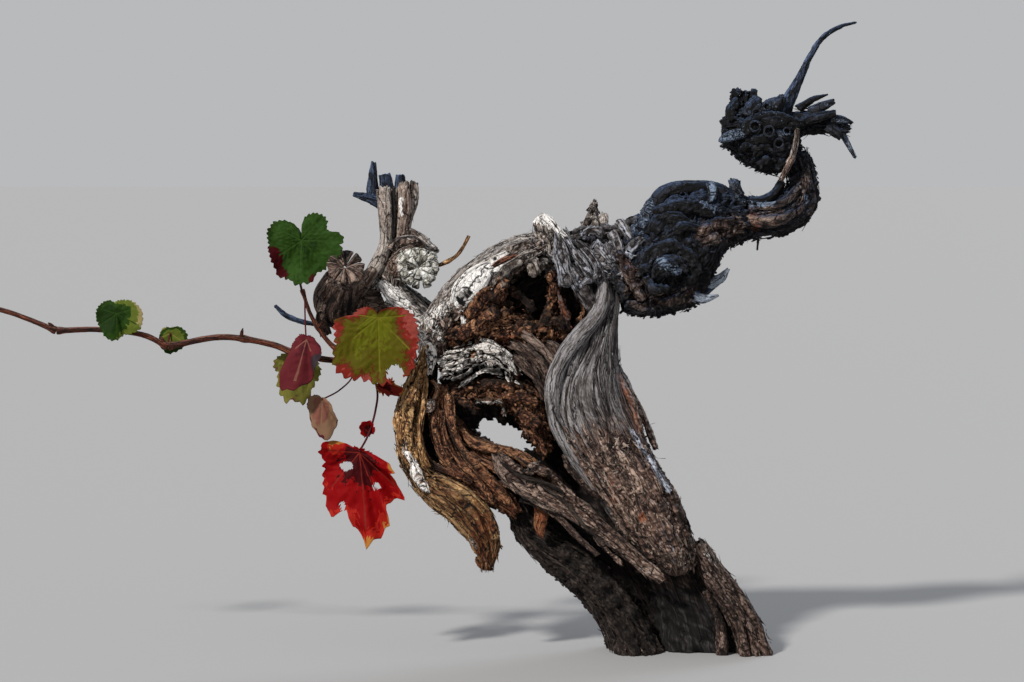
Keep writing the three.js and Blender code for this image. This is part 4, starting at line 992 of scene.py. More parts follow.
strapLower = {
    "path": [(-286, -14, 191, 11, 14), (-275, -14, 175, 14, 15), (-258, -14, 163, 17, 15), (-238, -14, 149, 18, 15), (-221, -14, 130, 18, 13),
             (-213, -13, 110, 13, 9), (-213, -12, 89, 6, 5)],
    "bark": "stringy", "cell": 1.3, "tear": (0, 7), "strength": 1.2,
    "ribs": [
        {"lines": [[(-265, -24, 180, 4, 4), (-247, -28, 172, 5, 4), (-228, -28, 160, 5, 4), (-211, -26, 140, 5, 4), (-205, -22, 118, 4, 4)],
                   [(-271, -26, 164, 4, 4), (-253, -28, 153, 4, 4), (-236, -28, 137, 4, 4), (-222, -25, 117, 4, 4), (-214, -20, 96, 3, 3)],
                   [(-263, -29, 173, 3, 3), (-243, -32, 161, 4, 3), (-226, -31, 145, 4, 3), (-216, -28, 125, 3, 3)],
                   [(-226, -18, 121, 3, 3), (-226, -18, 112, 3, 3), (-220, -18, 102, 3, 3)],
                   [(-208, -18, 118, 3, 3), (-206, -16, 103, 3, 3), (-210, -14, 89, 2, 2)],
                   [(-224, -14, 97, 2, 2), (-218, -13, 89, 3, 3), (-208, -12, 86, 2, 2)]],
         "bark": "stringy", "tear": 3, "strength": 0.9, "edge": 0.6},
        {"seams": (14, (0, 180), (0, 0.97), (3.4, 2.6)), "bark": "stringy", "tear": 4, "edge": 0.5, "cell": 1.2},
    ],
    "strips": [{**longFibres, "count": 70, "length": (20, 80), "past": 6}, {**shortFlakes, "count": 60, "peel": 4}],
    "chunks": [{**crumbs, "count": 130, "size": (1.5, 5)}],
    "bleach": [(-228, 117, -224, 109, 3, 0.6), (-214, 96, -208, 88, 4, 0.4)],
    "rust": [(-218, 135, -212, 89, 14, 0.8), (-262, 166, -224, 132, 20, 0.5)],
    "painted_shade": [(-252, 157, -230, 141, 2, 0.8), (-230, 141, -218, 121, 2, 0.8), (-285, 185, -214, 95, 40, 0.48)],
}
innerStrap = {
    "path": [(-256, -6, 270, 7, 9), (-262, -8, 252, 9, 11), (-259, -9, 226, 11, 12), (-248, -10, 201, 13, 12), (-230, -11, 180, 13, 11),
             (-210, -11, 165, 12, 9), (-193, -10, 152, 10, 7), (-184, -9, 142, 6, 5)],
    "bark": "stringy", "cell": 1.3, "tear": (3, 6),
    "ribs": [
        {"lines": [[(-264, -18, 257, 4, 4), (-265, -19, 232, 4, 4), (-259, -20, 207, 4, 5), (-245, -21, 187, 4, 5), (-228, -20, 174, 4, 4)],
                   [(-250, -18, 261, 4, 4), (-248, -21, 232, 5, 5), (-237, -23, 207, 5, 5), (-220, -23, 186, 5, 5), (-200, -21, 166, 5, 5),
                    (-183, -16, 143, 4, 4)],
                   [(-257, -20, 245, 3, 4), (-252, -22, 217, 3, 4), (-238, -24, 194, 4, 4), (-220, -23, 174, 4, 4), (-204, -19, 153, 3, 3)],
                   [(-281, -14, 226, 3, 6), (-275, -16, 203, 3, 6), (-259, -18, 188, 3, 6), (-238, -18, 179, 2.5, 5)],
                   [(-276, -12, 198, 2.5, 5), (-262, -15, 183, 2.5, 5), (-234, -16, 171, 2, 4), (-210, -14, 153, 2, 4)],
                   [(-270, -14, 242, 2, 4), (-268, -15, 221, 2, 4), (-258, -16, 199, 2, 4), (-242, -17, 181, 2, 4)]],
         "bark": "stringy", "strength": 1, "tear": 3, "cell": 1.1, "edge": 0.55},
        {"lines": [[(-264, -12, 254, 3, 3), (-269, -19, 252, 6, 5), (-272, -26, 249, 5.5, 5)]], "bark": "twig", "tear": 0.5,
         "bleach": 0.45, "cell": 0.91},
        {"lines": [[(-268, -14, 276, 2, 2), (-262, -16, 268, 2.5, 3), (-266, -16, 256, 2, 2)]], "bark": "twig", "bleach": 0.3, "cell": 0.91},
    ],
    "strips": [{**longFibres, "count": 50, "length": (16, 60), "past": 4}, {**shortFlakes, "count": 50, "peel": 3}],
    "chunks": [{**crumbs, "count": 260, "size": (1.5, 5)}],
    # the near-black lines are painted shade in the black gaps between the strap's lamellae
    "painted_shade": [(-254, 236, -244, 211, 2, 0.9), (-244, 211, -220, 185, 2, 0.9), (-220, 185, -196, 165, 2, 0.8)],
    "rust": [(-220, 187, -182, 143, 10, 0.5)],
}
ribbon = {
    "path": [(-204, -18, 205, 2, 2), (-196, -25, 188, 8, 4), (-175, -29, 172, 11, 5), (-150, -30, 160, 11, 5), (-125, -32, 146, 9, 5),
             (-101, -33, 129, 8, 5), (-75, -34, 108, 7, 5), (-52, -35, 89, 6, 5), (-38, -36, 79, 5, 5)],
    "bark": "stringy", "strength": 1.2, "cell": 1.23, "tear": (6, 4), "edge": 0.5,
    "ribs": [
        {"lines": [[(-180, -22, 158, 3, 5), (-160, -25, 153, 4, 5), (-140, -28, 139, 4, 5), (-121, -30, 119, 3.5, 4), (-103, -30, 103, 3, 4)],
                   [(-164, -30, 177, 2, 4), (-141, -33, 168, 3, 4), (-115, -34, 152, 3, 4), (-103, -33, 139, 2, 3)]],
         "bark": "stringy", "tear": 3, "cell": 1.04, "edge": 0.5},
        {"seams": (14, (0, 180), (0.02, 0.97), (2.4, 1.8)), "bark": "stringy", "tear": 3, "cell": 1.1, "edge": 0.5},
        {"lines": [[(-200, -26, 206, 1, 2), (-192, -33, 197, 3, 2), (-180, -36, 189, 3, 2), (-166, -38, 185, 2, 2)],
                   [(-184, -32, 201, 1, 2), (-170, -36, 193, 3, 2), (-154, -38, 187, 3, 2), (-141, -38, 178, 2, 2)],
                   [(-141, -38, 176, 2, 2), (-127, -40, 162, 3, 2), (-113, -40, 148, 3, 2), (-101, -38, 140, 1, 2)],
                   [(-111, -36, 130, 2, 2), (-97, -38, 112, 3, 2), (-79, -38, 95, 2, 2)]],
         "bark": "flaky", "tear": 3, "strength": 0.8, "edge": 0.5, "brown": 0.6, "bleach": 0.1, "cell": 1.04},
        # thin ribs painted near black: painted shade in the gaps between the ribbon's strands
        {"lines": [[(-200, -30, 196, 1, 3), (-180, -37, 183, 2, 2), (-156, -38, 176, 2, 2), (-135, -40, 166, 2, 2)],
                   [(-160, -37, 173, 1, 2), (-137, -40, 158, 2, 2), (-117, -40, 134, 2, 2), (-97, -39, 117, 1, 2)]],
         "bark": "twig", "tear": 2, "strength": 1, "painted_shade": 0.9, "cell": 1.04},
        {"lines": [[(-137, -26, 202, 1.5, 2), (-129, -29, 188, 4, 3), (-115, -30, 173, 4, 3), (-99, -28, 156, 3, 3)]], "bark": "flaky",
         "tear": 1, "rust": 0.25, "cell": 1.04},
    ],
    "strips": [{**longFibres, "count": 30, "length": (20, 90), "peel": 3}, {**shortFlakes, "count": 50, "peel": 4}],
    "bleach": [(-61, 95, -37, 75, 4, 0.3)], "rust": [(-170, 172, -90, 130, 6, 0.3)],
    "brown": [(-180, 175, -40, 78, 14, 0.6)],
    "painted_shade": [(-195, 165, -155, 155, 3, 0.8), (-150, 150, -80, 104, 2, 0.8)],
}
woodLimb("strap_upper", "straw", strapUpper)
woodLimb("strap_lower", "straw", strapLower)
woodLimb("inner_strap", "rotten", innerStrap)
woodLimb("ribbon", "oldBark", ribbon)
print("hollow half made")

waist = (45, 22, 436, 22, 24)
rightArm = {
    "path": [(-78, 14, 386, 44, 38), (-52, 16, 392, 54, 44), (-26, 17, 403, 62, 46), (-2, 18, 409, 60, 42),
             (12, 19, 422, 46, 36), (24, 20, 434, 33, 29), waist],
    "flat": (0, 0, -1), "bark": "tangled", "cell": 1.8,
    "ribs": [
        {"lines": [[(-66, -8, 409, 5, 6), (-58, -6, 430, 7, 7), (-50, -2, 451, 6, 7), (-47, -2, 458, 1.5, 3)],
                   [(-75, -14, 404, 4, 5), (-70, -12, 417, 5, 5), (-62, -8, 435, 3, 4)]],
         "bark": "flaky", "strength": 0.8, "tear": 2.5, "bleach": 0.45, "edge": 0.5, "cell": 1.4},
        {"lines": [[(-50, 0, 440, 8, 8), (-38, 4, 460, 8, 9), (-15, 6, 467, 8, 10), (13, 10, 465, 8, 9), (36, 14, 455, 7, 8),
                    (57, 16, 452, 6, 7), (74, 18, 459, 6, 7), (83, 20, 473, 5, 6)]],
         "bark": "smooth", "strength": 1.1, "tear": 2, "bleach": 0.12, "edge": 0.9},
        {"lines": [[(8, -2, 472, 3, 4), (12, -6, 463, 5, 5), (10, -8, 452, 2, 3)],
                   [(29, 8, 475, 2, 3), (34, 6, 469, 5, 6), (40, 8, 459, 5, 5)]],
         "bark": "smooth", "strength": 0.8, "tear": 1.5, "bleach": 0.4, "edge": 0.6},
        {"lines": [[(-45, -14, 441, 6, 6), (-27, -20, 449, 7, 6), (-5, -19, 448, 7, 6), (11, -12, 441, 5, 5)],
                   [(-51, -16, 420, 6, 6), (-39, -20, 434, 9, 6), (-22, -21, 434, 9, 6), (-12, -18, 422, 6, 6)],
                   [(-30, -24, 424, 4, 5), (-16, -26, 428, 6, 5), (-2, -22, 424, 6, 5), (8, -16, 428, 4, 4)],
                   [(-59, -22, 386, 4, 6), (-51, -25, 400, 7, 6), (-36, -28, 407, 8, 6), (-18, -27, 403, 8, 6), (-8, -23, 390, 7, 6),
                    (-12, -21, 376, 6, 6), (-25, -22, 366, 5, 6)],
                   [(-48, -26, 378, 3, 4), (-44, -30, 396, 4, 4), (-26, -32, 396, 4, 4), (-16, -28, 384, 3, 4)],
                   [(-55, -26, 380, 5, 5), (-47, -28, 368, 6, 6), (-33, -27, 366, 4, 5)],
                   [(-45, -28, 384, 5, 6), (-37, -35, 389, 9, 7), (-24, -30, 386, 5, 6)],
                   [(-42, -34, 394, 2, 3), (-34, -38, 396, 4, 3), (-26, -36, 391, 2, 3)]],
         "bark": "tangled", "strength": 1, "tear": 2.5, "bleach": 0.12, "edge": 0.7, "cell": 1.5},
        {"lines": [[(-1, -18, 430, 5, 5), (15, -14, 431, 6, 6), (33, -8, 433, 5, 5)],
                   [(-7, -20, 412, 5, 6), (9, -18, 418, 7, 6), (23, -10, 419, 5, 5)],
                   [(-83, -20, 406, 4, 6), (-75, -24, 390, 5, 6), (-67, -26, 372, 6, 6), (-61, -24, 356, 5, 6)],
                   [(-89, -18, 394, 4, 5), (-83, -20, 376, 5, 6), (-75, -20, 356, 5, 6)],
                   [(-75, -18, 353, 6, 7), (-61, -20, 348, 7, 6), (-47, -20, 353, 6, 6)],
                   [(-41, -18, 350, 6, 6), (-25, -18, 354, 7, 6), (-7, -12, 362, 6, 6)],
                   [(-1, -14, 388, 5, 5), (5, -10, 377, 5, 6), (-1, -10, 366, 4, 5)]],
         "bark": "crumbly", "strength": 0.9, "tear": 2.5, "edge": 0.6, "cell": 1.5},
    ],
    "strips": [{**longFibres, "count": 40, "length": (14, 50), "drift": 1.2, "peel": 1.5},
               {**shortFlakes, "count": 100, "peel": 3, "drift": 1.2}],
    "chunks": [{**crumbs, "count": 800, "size": (2, 6), "spread": 0.7, "lift": (-1, 2)}],
    # the pale streaks on the dark arm take its blue-grey worn colour: painted sky highlights
    "bleach": [(-61, 423, -50, 451, 4, 0.5), (-71, 404, -63, 410, 5, 0.6), (-43, 396, -25, 385, 6, 0.6), (11, 471, 12, 457, 4, 0.7), (2, 452, 14, 446, 5, 0.5),
               (34, 457, 47, 450, 3, 0.5), (-39, 467, -1, 475, 5, 0.3), (-39, 447, -1, 453, 4, 0.25)],
    "rust": [(-3, 415, 21, 423, 6, 0.2), (-11, 366, 1, 364, 5, 0.4), (-73, 394, -68, 388, 4, 0.5)],
    "brown": [(5, 423, 34, 429, 12, 0.7), (-79, 394, -61, 356, 10, 0.5), (-46, 356, -11, 360, 8, 0.4)],
}
rightElbow = {
    "path": [waist, (70, 24, 437, 20, 20), (92, 26, 444, 20, 19), (104, 27, 462, 17, 17), (102, 28, 482, 14, 15),
             (95, 28, 502, 14, 15)],
    "bark": "tangled", "cell": 1.4,
    "ribs": [
        {"lines": [[(42, 6, 439, 5, 6), (58, 4, 433, 6, 6), (79, 6, 435, 6, 6), (95, 10, 443, 5, 6)],
                   [(57, 8, 449, 4, 5), (73, 6, 449, 5, 5), (87, 8, 455, 5, 5), (97, 12, 467, 4, 5)],
                   [(108, 16, 441, 4, 5), (113, 18, 455, 4, 5), (110, 18, 471, 4, 5), (106, 18, 489, 3, 4)]],
         "bark": "stringy", "tear": 3, "edge": 0.6, "brown": 0.15, "cell": 1.4},
        {"lines": [[(108, 22, 455, 4, 4), (115, 22, 467, 3, 3), (119, 22, 473, 2.2, 2.2)], [(59, 16, 419, 1.4, 1.4), (58, 16, 404, 0.7, 0.7)]],
         "bark": "twig", "strength": 2, "tear": 0.6, "cell": 1},
    ],
    "strips": [{**longFibres, "count": 40, "length": (14, 60), "peel": 1.2}, {**shortFlakes, "count": 70, "peel": 2.5}],
    "chunks": [{**crumbs, "count": 420, "size": (1.5, 5)}],
    # the pale streaks on the elbow take the dark look's blue-grey worn colour: painted sky highlights
    "bleach": [(38, 451, 72, 453, 4.5, 0.8), (105, 459, 108, 456, 3, 0.8), (95, 443, 105, 451, 4, 0.3)],
    "rust": [(46, 442, 55, 430, 8, 0.5), (89, 459, 97, 453, 5, 0.3)],
    "brown": [(41, 441, 70, 441, 12, 0.7), (99, 445, 105, 475, 6, 0.4)],
}
burl = {
    "path": [(100, 28, 519, 15, 15), (82, 28, 515, 34, 29), (60, 28, 518, 32, 31), (40, 28, 522, 24, 26),
             (23, 28, 522, 13, 15)],
    "bark": "tangled", "strength": 0.7, "cell": 1.3,
    "ribs": [
        {"lines": [[(46, 4, 522, 5, 6), (32, 3, 519, 6, 5), (22, 3, 515, 4, 4), (19, 3, 512, 2, 2)]],
         "bark": "smooth", "strength": 0.8, "bleach": 0.5, "tear": 1},
        {"lines": [[(34, 16, 533, 7, 8), (32, 18, 543, 7, 8), (40, 20, 552, 6, 7)],
                   [(46, 4, 537, 8, 7), (52, 6, 547, 8, 8), (59, 12, 554, 6, 7)],
                   [(62, 3, 541, 7, 7), (71, 4, 549, 8, 8), (83, 10, 554, 6, 6)],
                   [(42, 0, 525, 9, 7), (56, -3, 533, 10, 7), (72, -3, 533, 10, 7), (88, 0, 531, 8, 6), (101, 6, 531, 6, 6)],
                   [(50, 0, 515, 7, 6), (64, -3, 518, 8, 6), (80, -1, 517, 7, 6), (92, 4, 517, 5, 5)]],
         "bark": "tangled", "strength": 0.7, "bleach": 0.22, "tear": 2, "edge": 0.8, "cell": 1.4},
        {"lines": [[(52, 2, 503, 7, 7), (62, -2, 508, 7, 6), (72, 0, 503, 6, 6)],
                   [(82, 2, 503, 6, 6), (90, 4, 511, 6, 6)], [(59, 6, 489, 6, 6), (68, 2, 495, 6, 6)],
                   [(77, 8, 485, 5, 6), (82, 5, 495, 6, 6)], [(42, 6, 503, 5, 6), (48, 3, 511, 6, 6)]],
         "bark": "crumbly", "strength": 0.8, "tear": 2, "edge": 0.8, "cell": 1.5},
        {"lines": [ringRows(53, -10, 528, 5), ringRows(67, -10, 523, 5), ringRows(77, -7, 511, 4.5),
                   ringRows(55, -6, 541, 4), ringRows(85, -6, 523, 3.5), ringRows(65, -5, 547, 3.5)],
         "bark": "twig", "strength": 1, "tear": 0, "bleach": 0.3, "cell": 0.8},
    ],
    "strips": [{**shortFlakes, "count": 60, "peel": 3}],
    "chunks": [{**crumbs, "count": 420, "size": (1.5, 5), "spread": 0.7, "lift": (-1, 2), "around": (-20, 200)},
               {**crumbs, "count": 200, "size": (1.5, 4), "spread": 0.7, "lift": (-1, 1)}],
    # the pale streaks on the burl take the dark look's blue-grey worn colour: painted sky highlights
    "bleach": [(71, 549, 73, 543, 4, 0.4), (41, 525, 23, 519, 4, 0.3), (79, 521, 83, 521, 3, 0.5), (34, 551, 99, 543, 12, 0.25)],
    "painted_shade": [(27, 531, 33, 529, 7, 0.9), (44, 512, 84, 512, 2.5, 0.7)],
}
burlStub = {
    "path": [(45, 28, 538, 12, 12), (43, 28, 553, 10, 10), (43, 28, 563, 10, 10)],
    "bark": "tangled", "cell": 1.04, "tear": (0, 2.5),
    "ribs": [{"lines": [[(42, 22, 552, 4, 4), (36, 22, 560, 3, 3), (31, 22, 563, 2, 2)], [(35, 22, 561, 2, 2), (34, 22, 566, 1.5, 1.5)],
                        [(52, 20, 551, 4, 4), (54, 20, 561, 3.5, 3.5), (55, 20, 565, 2.5, 2.5)]], "bark": "flaky", "tear": 0.8}],
    "strips": [{**shortFlakes, "count": 20}], "chunks": [{**crumbs, "count": 20, "size": (1, 2.5)}],
}
burlSpur = {
    "path": [(86, 27, 528, 16, 14), (108, 24, 533, 13, 11), (128, 22, 531, 11, 9), (141, 20, 526, 8, 7),
             (149, 18, 524, 4, 4)],
    "bark": "flaky", "cell": 1.17, "tear": (0, 3),
    "ribs": [
        {"lines": [[(98, 20, 545, 5, 5), (114, 18, 555, 3.4, 3.4), (128, 16, 560, 1.2, 1.2)],
                   [(110, 18, 542, 6, 6), (125, 16, 549, 5, 5), (134, 16, 553, 3.6, 3.6)],
                   [(130, 14, 535, 6, 6), (143, 14, 534, 4, 4), (152, 14, 531, 1.6, 1.6)],
                   [(126, 14, 529, 5, 5), (136, 14, 522, 5, 5), (141, 14, 516, 2.5, 2.5)],
                   [(107, 14, 526, 2.4, 2.4), (112, 14, 521, 0.8, 0.8)], [(113, 14, 528, 2.4, 2.4), (109, 14, 520, 1, 1)],
                   [(101, 10, 533, 5, 5), (117, 8, 537, 5, 5), (135, 10, 541, 4, 4)]],
         "bark": "stringy", "tear": 1.5},
    ],
    "strips": [{**longFibres, "count": 30, "length": (12, 40), "past": 3, "peel": 3}],
    "chunks": [{**crumbs, "count": 50, "size": (1, 3)}],
    "bleach": [(105, 547, 128, 549, 3, 0.35), (134, 535, 148, 531, 3, 0.4)],
}
woodLimb("right_arm", "dark", rightArm)
woodLimb("right_elbow", "dark", rightElbow)
woodLimb("burl", "dark", burl)
woodLimb("burl_stub", "dark", burlStub)
woodLimb("burl_spur", "dark", burlSpur)

spurs = {
    "curved_spur": [(82, 24, 538, 9, 9), (90, 23, 556, 7, 7), (98, 22, 572, 5, 5), (109, 23, 595, 3.4, 3.4),
                    (121, 26, 614, 2.8, 2.8), (137, 28, 626, 2.2, 2.2), (157, 30, 632, 1.2, 1.2)],
    "hanging_spur": [(138, 18, 530, 4, 4), (147, 15, 512, 3, 3), (155, 13, 497, 2, 2)],
    "arm_knob": [(36, 22, 455, 8, 8), (36, 22, 468, 6, 6), (38, 22, 475, 4, 4)],
    "splinter_upper": [(2, 8, 366, 9, 9), (14, 3, 373, 6, 5), (22, 0, 378, 4.5, 3), (28, -2, 386, 2, 1.5)],
    "splinter_lower": [(-12, -8, 362, 7, 7), (2, -10, 357, 5, 4), (17, -13, 360, 1.2, 1.2)],
    "tip_blue": [(-328, 46, 452, 7, 7), (-329, 46, 470, 6, 6), (-328, 46, 492, 2.5, 2.5)],
    "tip_side": [(-314, 44, 447, 8, 8), (-330, 42, 455, 5.5, 5.5), (-348, 41, 460, 2.5, 2.5)],
    "tip_middle": [(-314, 46, 462, 8, 8), (-317, 46, 480, 6, 6)],
    "tip_right": [(-301, 44, 462, 7, 7), (-301, 44, 479, 4.5, 4.5)],
    "dead_twig": [(-350, 30, 330, 3, 3), (-385, 12, 330, 2.4, 2.4), (-412, 6, 338, 3, 3), (-425, 4, 349, 1.8, 1.8)],
}
paleSpurs = {"splinter_upper": [(14, 374, 28, 386, 9, 0.9)], "splinter_lower": [(-8, 357, 17, 360, 7, 0.9)],
             "hanging_spur": [(147, 512, 155, 497, 4, 0.4)]}
for node, rows in spurs.items():
    spur = {"path": rows, "bark": "twig", "strength": 1.8, "cell": 0.91, "tear": (0, 1.5)}
    spur["bleach"] = paleSpurs.get(node, ())
    woodLimb(node, "twig", spur)
neckTwig = {"path": [(96, 0, 526, 3.2), (92, 1, 500, 3.4), (89, 2, 493, 3.8), (80, 5, 474, 2.8)], "bark": "twig",
            "strength": 1.5, "cell": 0.91, "tear": (0, 2), "brown": [(80, 474, 89, 493, 6, 0.8)]}
woodLimb("neck_twig", "bleached", neckTwig)
print("right arm made")

turn = (-314, 45, 354, 23, 22)
leftArm = {
    "path": [(-252, 38, 310, 17, 20), (-284, 44, 334, 21, 22), turn],
    "bark": "stringy", "cell": 1.43,
    "ribs": [{"lines": [[(-256, 18, 318, 6, 5), (-282, 22, 340, 7, 6), (-306, 24, 356, 7, 6), (-320, 26, 372, 5, 5)],
                        [(-262, 16, 304, 5, 5), (-286, 22, 322, 6, 6), (-310, 24, 338, 6, 6)]],
              "bark": "stringy", "strength": 0.8, "bleach": 0.4}],
    "strips": [{**longFibres, "count": 40, "length": (16, 60)}, {**shortFlakes, "count": 60}],
    "chunks": [{**crumbs, "count": 50}],
    "bleach": [(-335, 376, -300, 352, 12, 0.75), (-300, 345, -270, 325, 8, 0.7)],
    "painted_shade": [(-285, 365, -272, 350, 12, 0.9)],
}
leftUpright = {
    "path": [(-316, 45, 360, 20, 19), (-310, 46, 386, 16, 17), (-306, 47, 408, 13, 15), (-303, 48, 436, 13, 14),
             (-300, 48, 466, 14, 12)],
    "bark": "stringy", "strength": 0.7, "cell": 1.3, "tear": (0, 4),
    "ribs": [
        {"lines": [[(-334, 34, 372, 8, 8), (-322, 33, 392, 8, 8), (-315, 33, 412, 7, 8), (-315, 34, 440, 8, 8),
                    (-318, 36, 466, 8, 8)]], "bark": "smooth", "strength": 0.6, "tear": 3, "edge": 0.9},
        {"lines": [[(-297, 36, 472, 6, 7), (-296, 34, 450, 7, 7), (-299, 34, 428, 6, 7), (-301, 34, 410, 5, 6)],
                   [(-287, 44, 472, 5, 6), (-287, 42, 456, 5, 6), (-291, 40, 440, 4, 5), (-296, 38, 422, 4, 5)]],
         "bark": "stringy", "tear": 3, "edge": 0.8},
        # a thin rib painted black: a painted shadow line in the upright's groove
        {"lines": [[(-307, 31, 466, 2, 2), (-306, 30, 440, 1.5, 2), (-307, 30, 416, 1.5, 2)]], "bark": "twig", "painted_shade": 1.0},
        {"lines": [[(-310, 27, 404, 7, 6), (-300, 24, 412, 7, 6), (-288, 24, 414, 6, 6), (-278, 28, 406, 5, 5)],
                   [(-306, 26, 394, 6, 6), (-296, 22, 404, 6, 6), (-286, 22, 406, 5, 5)]],
         "bark": "flaky", "tear": 2, "brown": 0.7, "edge": 0.7},
    ],
    "strips": [{**longFibres, "count": 24, "length": (20, 90)}, {**shortFlakes, "count": 30}],
    "chunks": [{**crumbs, "count": 160, "from": (0.1, 0.6), "size": (2, 5), "brown": 0.6}],
    "bleach": [(-335, 380, -322, 368, 8, 0.5), (-300, 455, -299, 440, 2.5, 0.8), (-317, 430, -315, 400, 5, 0.25)],
    "brown": [(-296, 470, -298, 410, 9, 0.7), (-320, 462, -316, 430, 6, 0.3)],
    "painted_shade": [(-318, 472, -286, 474, 5, 0.5), (-308, 460, -306, 405, 2, 0.9)],
}
sawnKnob = {
    "path": [(-322, 42, 346, 20), (-346, 34, 343, 24), (-363, 20, 352, 25), (-360, 5, 368, 20), (-357, -4, 377, 16)],
    "bark": "smooth", "strength": 1, "cell": 1.2,
    "ribs": [
        {"lines": wedgeRows((-354, -17, 388), (0.25, -0.8, 0.55), 18, 10), "bark": "smooth", "strength": 0.5, "tear": 1,
         "cell": 1.1, "edge": 0.7},
        {"lines": [[(-370, 4, 355, 5, 6), (-379, 8, 337, 6, 6), (-375, 12, 320, 6, 6)],
                   [(-364, -6, 369, 5, 5), (-372, 0, 357, 5, 5), (-378, 4, 343, 4, 5)]], "bark": "smooth", "strength": 0.6,
         "brown": 0.8, "bleach": 0.15},
        {"lines": [[(-326, 16, 386, 4, 6), (-337, 16, 373, 8, 8), (-346, 16, 358, 7, 8)]], "bark": "smooth", "tear": 1,
         "brown": 0.5, "bleach": 0.3},
    ],
    # the near-black streaks are a painted shadow across the knob's middle
    "painted_shade": [(-352, 350, -338, 334, 9, 0.9), (-378, 352, -340, 340, 34, 0.45)],
    "brown": [(-385, 360, -330, 340, 40, 0.85)],
    "bleach": [(-381, 356, -379, 338, 7, 0.3)],
}
cutStub = {
    "path": [(-307, 42, 388, 14), (-293, 28, 389, 17), (-283, 12, 389, 17)],
    "bark": "flaky", "strength": 0.35, "cell": 0.98, "dome": (0, 1),
    "brown": [(-311, 405, -308, 372, 10, 1)],
    "ribs": [
        {"lines": wedgeRows((-281, 0, 388), (0.1, -1, 0.05), 12, 9), "bark": "smooth", "strength": 0.3, "tear": 0.6,
         "cell": 0.9, "edge": 0.6, "bleach": 0.1},
        {"lines": wedgeRows((-281, 1, 388), (0.1, -1, 0.05), 18, 13, ((0.68, 1.5), (0.85, 2.4), (1, 1), (1.05, -4))),
         "bark": "crumbly", "strength": 0.3, "tear": 0.6, "cell": 0.9, "edge": 0.6},
    ],
    "chunks": [{"count": 90, "size": (1.5, 4), "lift": (-0.5, 1), "from": (0.3, 0.9), "spread": 0.6}],
}
barkChip = {
    "path": [(-300, 38, 424, 6, 6), (-288, 36, 415, 9, 7), (-276, 32, 409, 7, 5), (-264, 28, 403, 2, 3)],
    "bark": "flaky", "strength": 0.6, "cell": 1.04, "tear": (0, 1.5),
    "strips": [{**longFibres, "count": 10, "length": (10, 24)}],
    "chunks": [{"count": 60, "size": (2, 5), "lift": (-0.5, 1.5)}],
    "bleach": [(-280, 410, -264, 403, 8, 0.5)], "brown": [(-300, 424, -288, 415, 10, 0.8)],
}
woodLimb("left_arm", "bleached", leftArm)
woodLimb("left_upright", "bleached", leftUpright)
woodLimb("sawn_knob", "oldBark", sawnKnob)
woodLimb("cut_stub", "cut", cutStub)
woodLimb("bark_chip", "bleached", barkChip)
print("left arm made")

caneJoints = {
    "start": (-298, 36, 330, 4.0), "first": (-403, -26, 303, 3.4), "second": (-528, -34, 311, 3.1),
    "third": (-637, -40, 327, 2.9), "fourth": (-752, -44, 361, 2.5), "tip": (-842, -48, 385, 1.1),
}
canes = {
    "cane_1": {
        "path": [caneJoints["start"], (-330, -2, 303, 3.1), (-362, -16, 296, 3.1), caneJoints["first"]],
        "knots": [(0.98, 0.35)],
        "ribs": [[(-401, -27, 304, 1.8), (-404, -28, 310, 1.6), (-405, -28, 314, 0.6)]],
    },
    "cane_2": {
        "path": [caneJoints["first"], (-428, -27, 313, 3.1), (-475, -30, 320, 3.1), caneJoints["second"]],
        "knots": [(0.02, 0.3), (0.41, 0.3), (0.98, 0.35)],
        "ribs": [[(-456, -30, 319, 1.9), (-455, -31, 325, 1.7), (-454, -31, 329, 0.6)]],
    },
    "cane_3": {
        "path": [caneJoints["second"], (-554, -36, 323, 2.8), (-596, -38, 328, 2.8), caneJoints["third"]],
        "knots": [(0.02, 0.35), (0.98, 0.4)],
        "ribs": [[(-530, -35, 313, 1.8), (-533, -36, 318, 1.6), (-535, -36, 321, 0.5)]],
    },
    "cane_4": {
        "path": [caneJoints["third"], (-663, -42, 338, 2.5), (-692, -43, 348, 2.5), caneJoints["fourth"]],
        "knots": [(0.02, 0.45), (0.98, 0.4)],
        "ribs": [[(-638, -41, 329, 1.8), (-642, -42, 333, 1.6), (-645, -42, 335, 0.6)]],
    },
    "cane_5": {
        "path": [caneJoints["fourth"], (-796, -46, 376, 1.9), caneJoints["tip"]],
        "knots": [(0.02, 0.5), (0.5, 0.35)],
        "ribs": [[(-796, -46, 377, 1.2), (-799, -47, 381, 0.5)]],
    },
    "side_shoot": {
        "path": [(-346, -9, 299, 3), (-368, -11, 311, 2.5), (-387, -10, 338, 2.1), (-397, -9, 366, 1.7)],
        "knots": [(0.2, 0.3), (0.55, 0.35), (0.98, 0.5)],
        "ribs": [[(-380, -12, 328, 1.5), (-377, -14, 334, 0.5)]],
    },
    "dead_shoot": {
        "path": [(-279, 18, 388, 2, 2), (-262, 14, 389, 2, 2), (-246, 12, 397, 1.9, 1.9), (-238, 11, 406, 1.9, 1.9),
                 (-231, 10, 419, 1.4, 1.4)],
        "knots": [(0.45, 0.35), (0.98, 0.3)],
    },
}
for node, wood in canes.items():
    look = "straw" if node == "dead_shoot" else "cane"
    wood.update({"bark": "twig", "strength": 0.5, "cell": 0.78, "tear": (0, 0.4)})
    wood["ribs"] = [{"lines": wood.get("ribs", ()), "tear": 0.2, "strength": 0.4}]
    woodLimb(node, look, wood)
print("cane made")


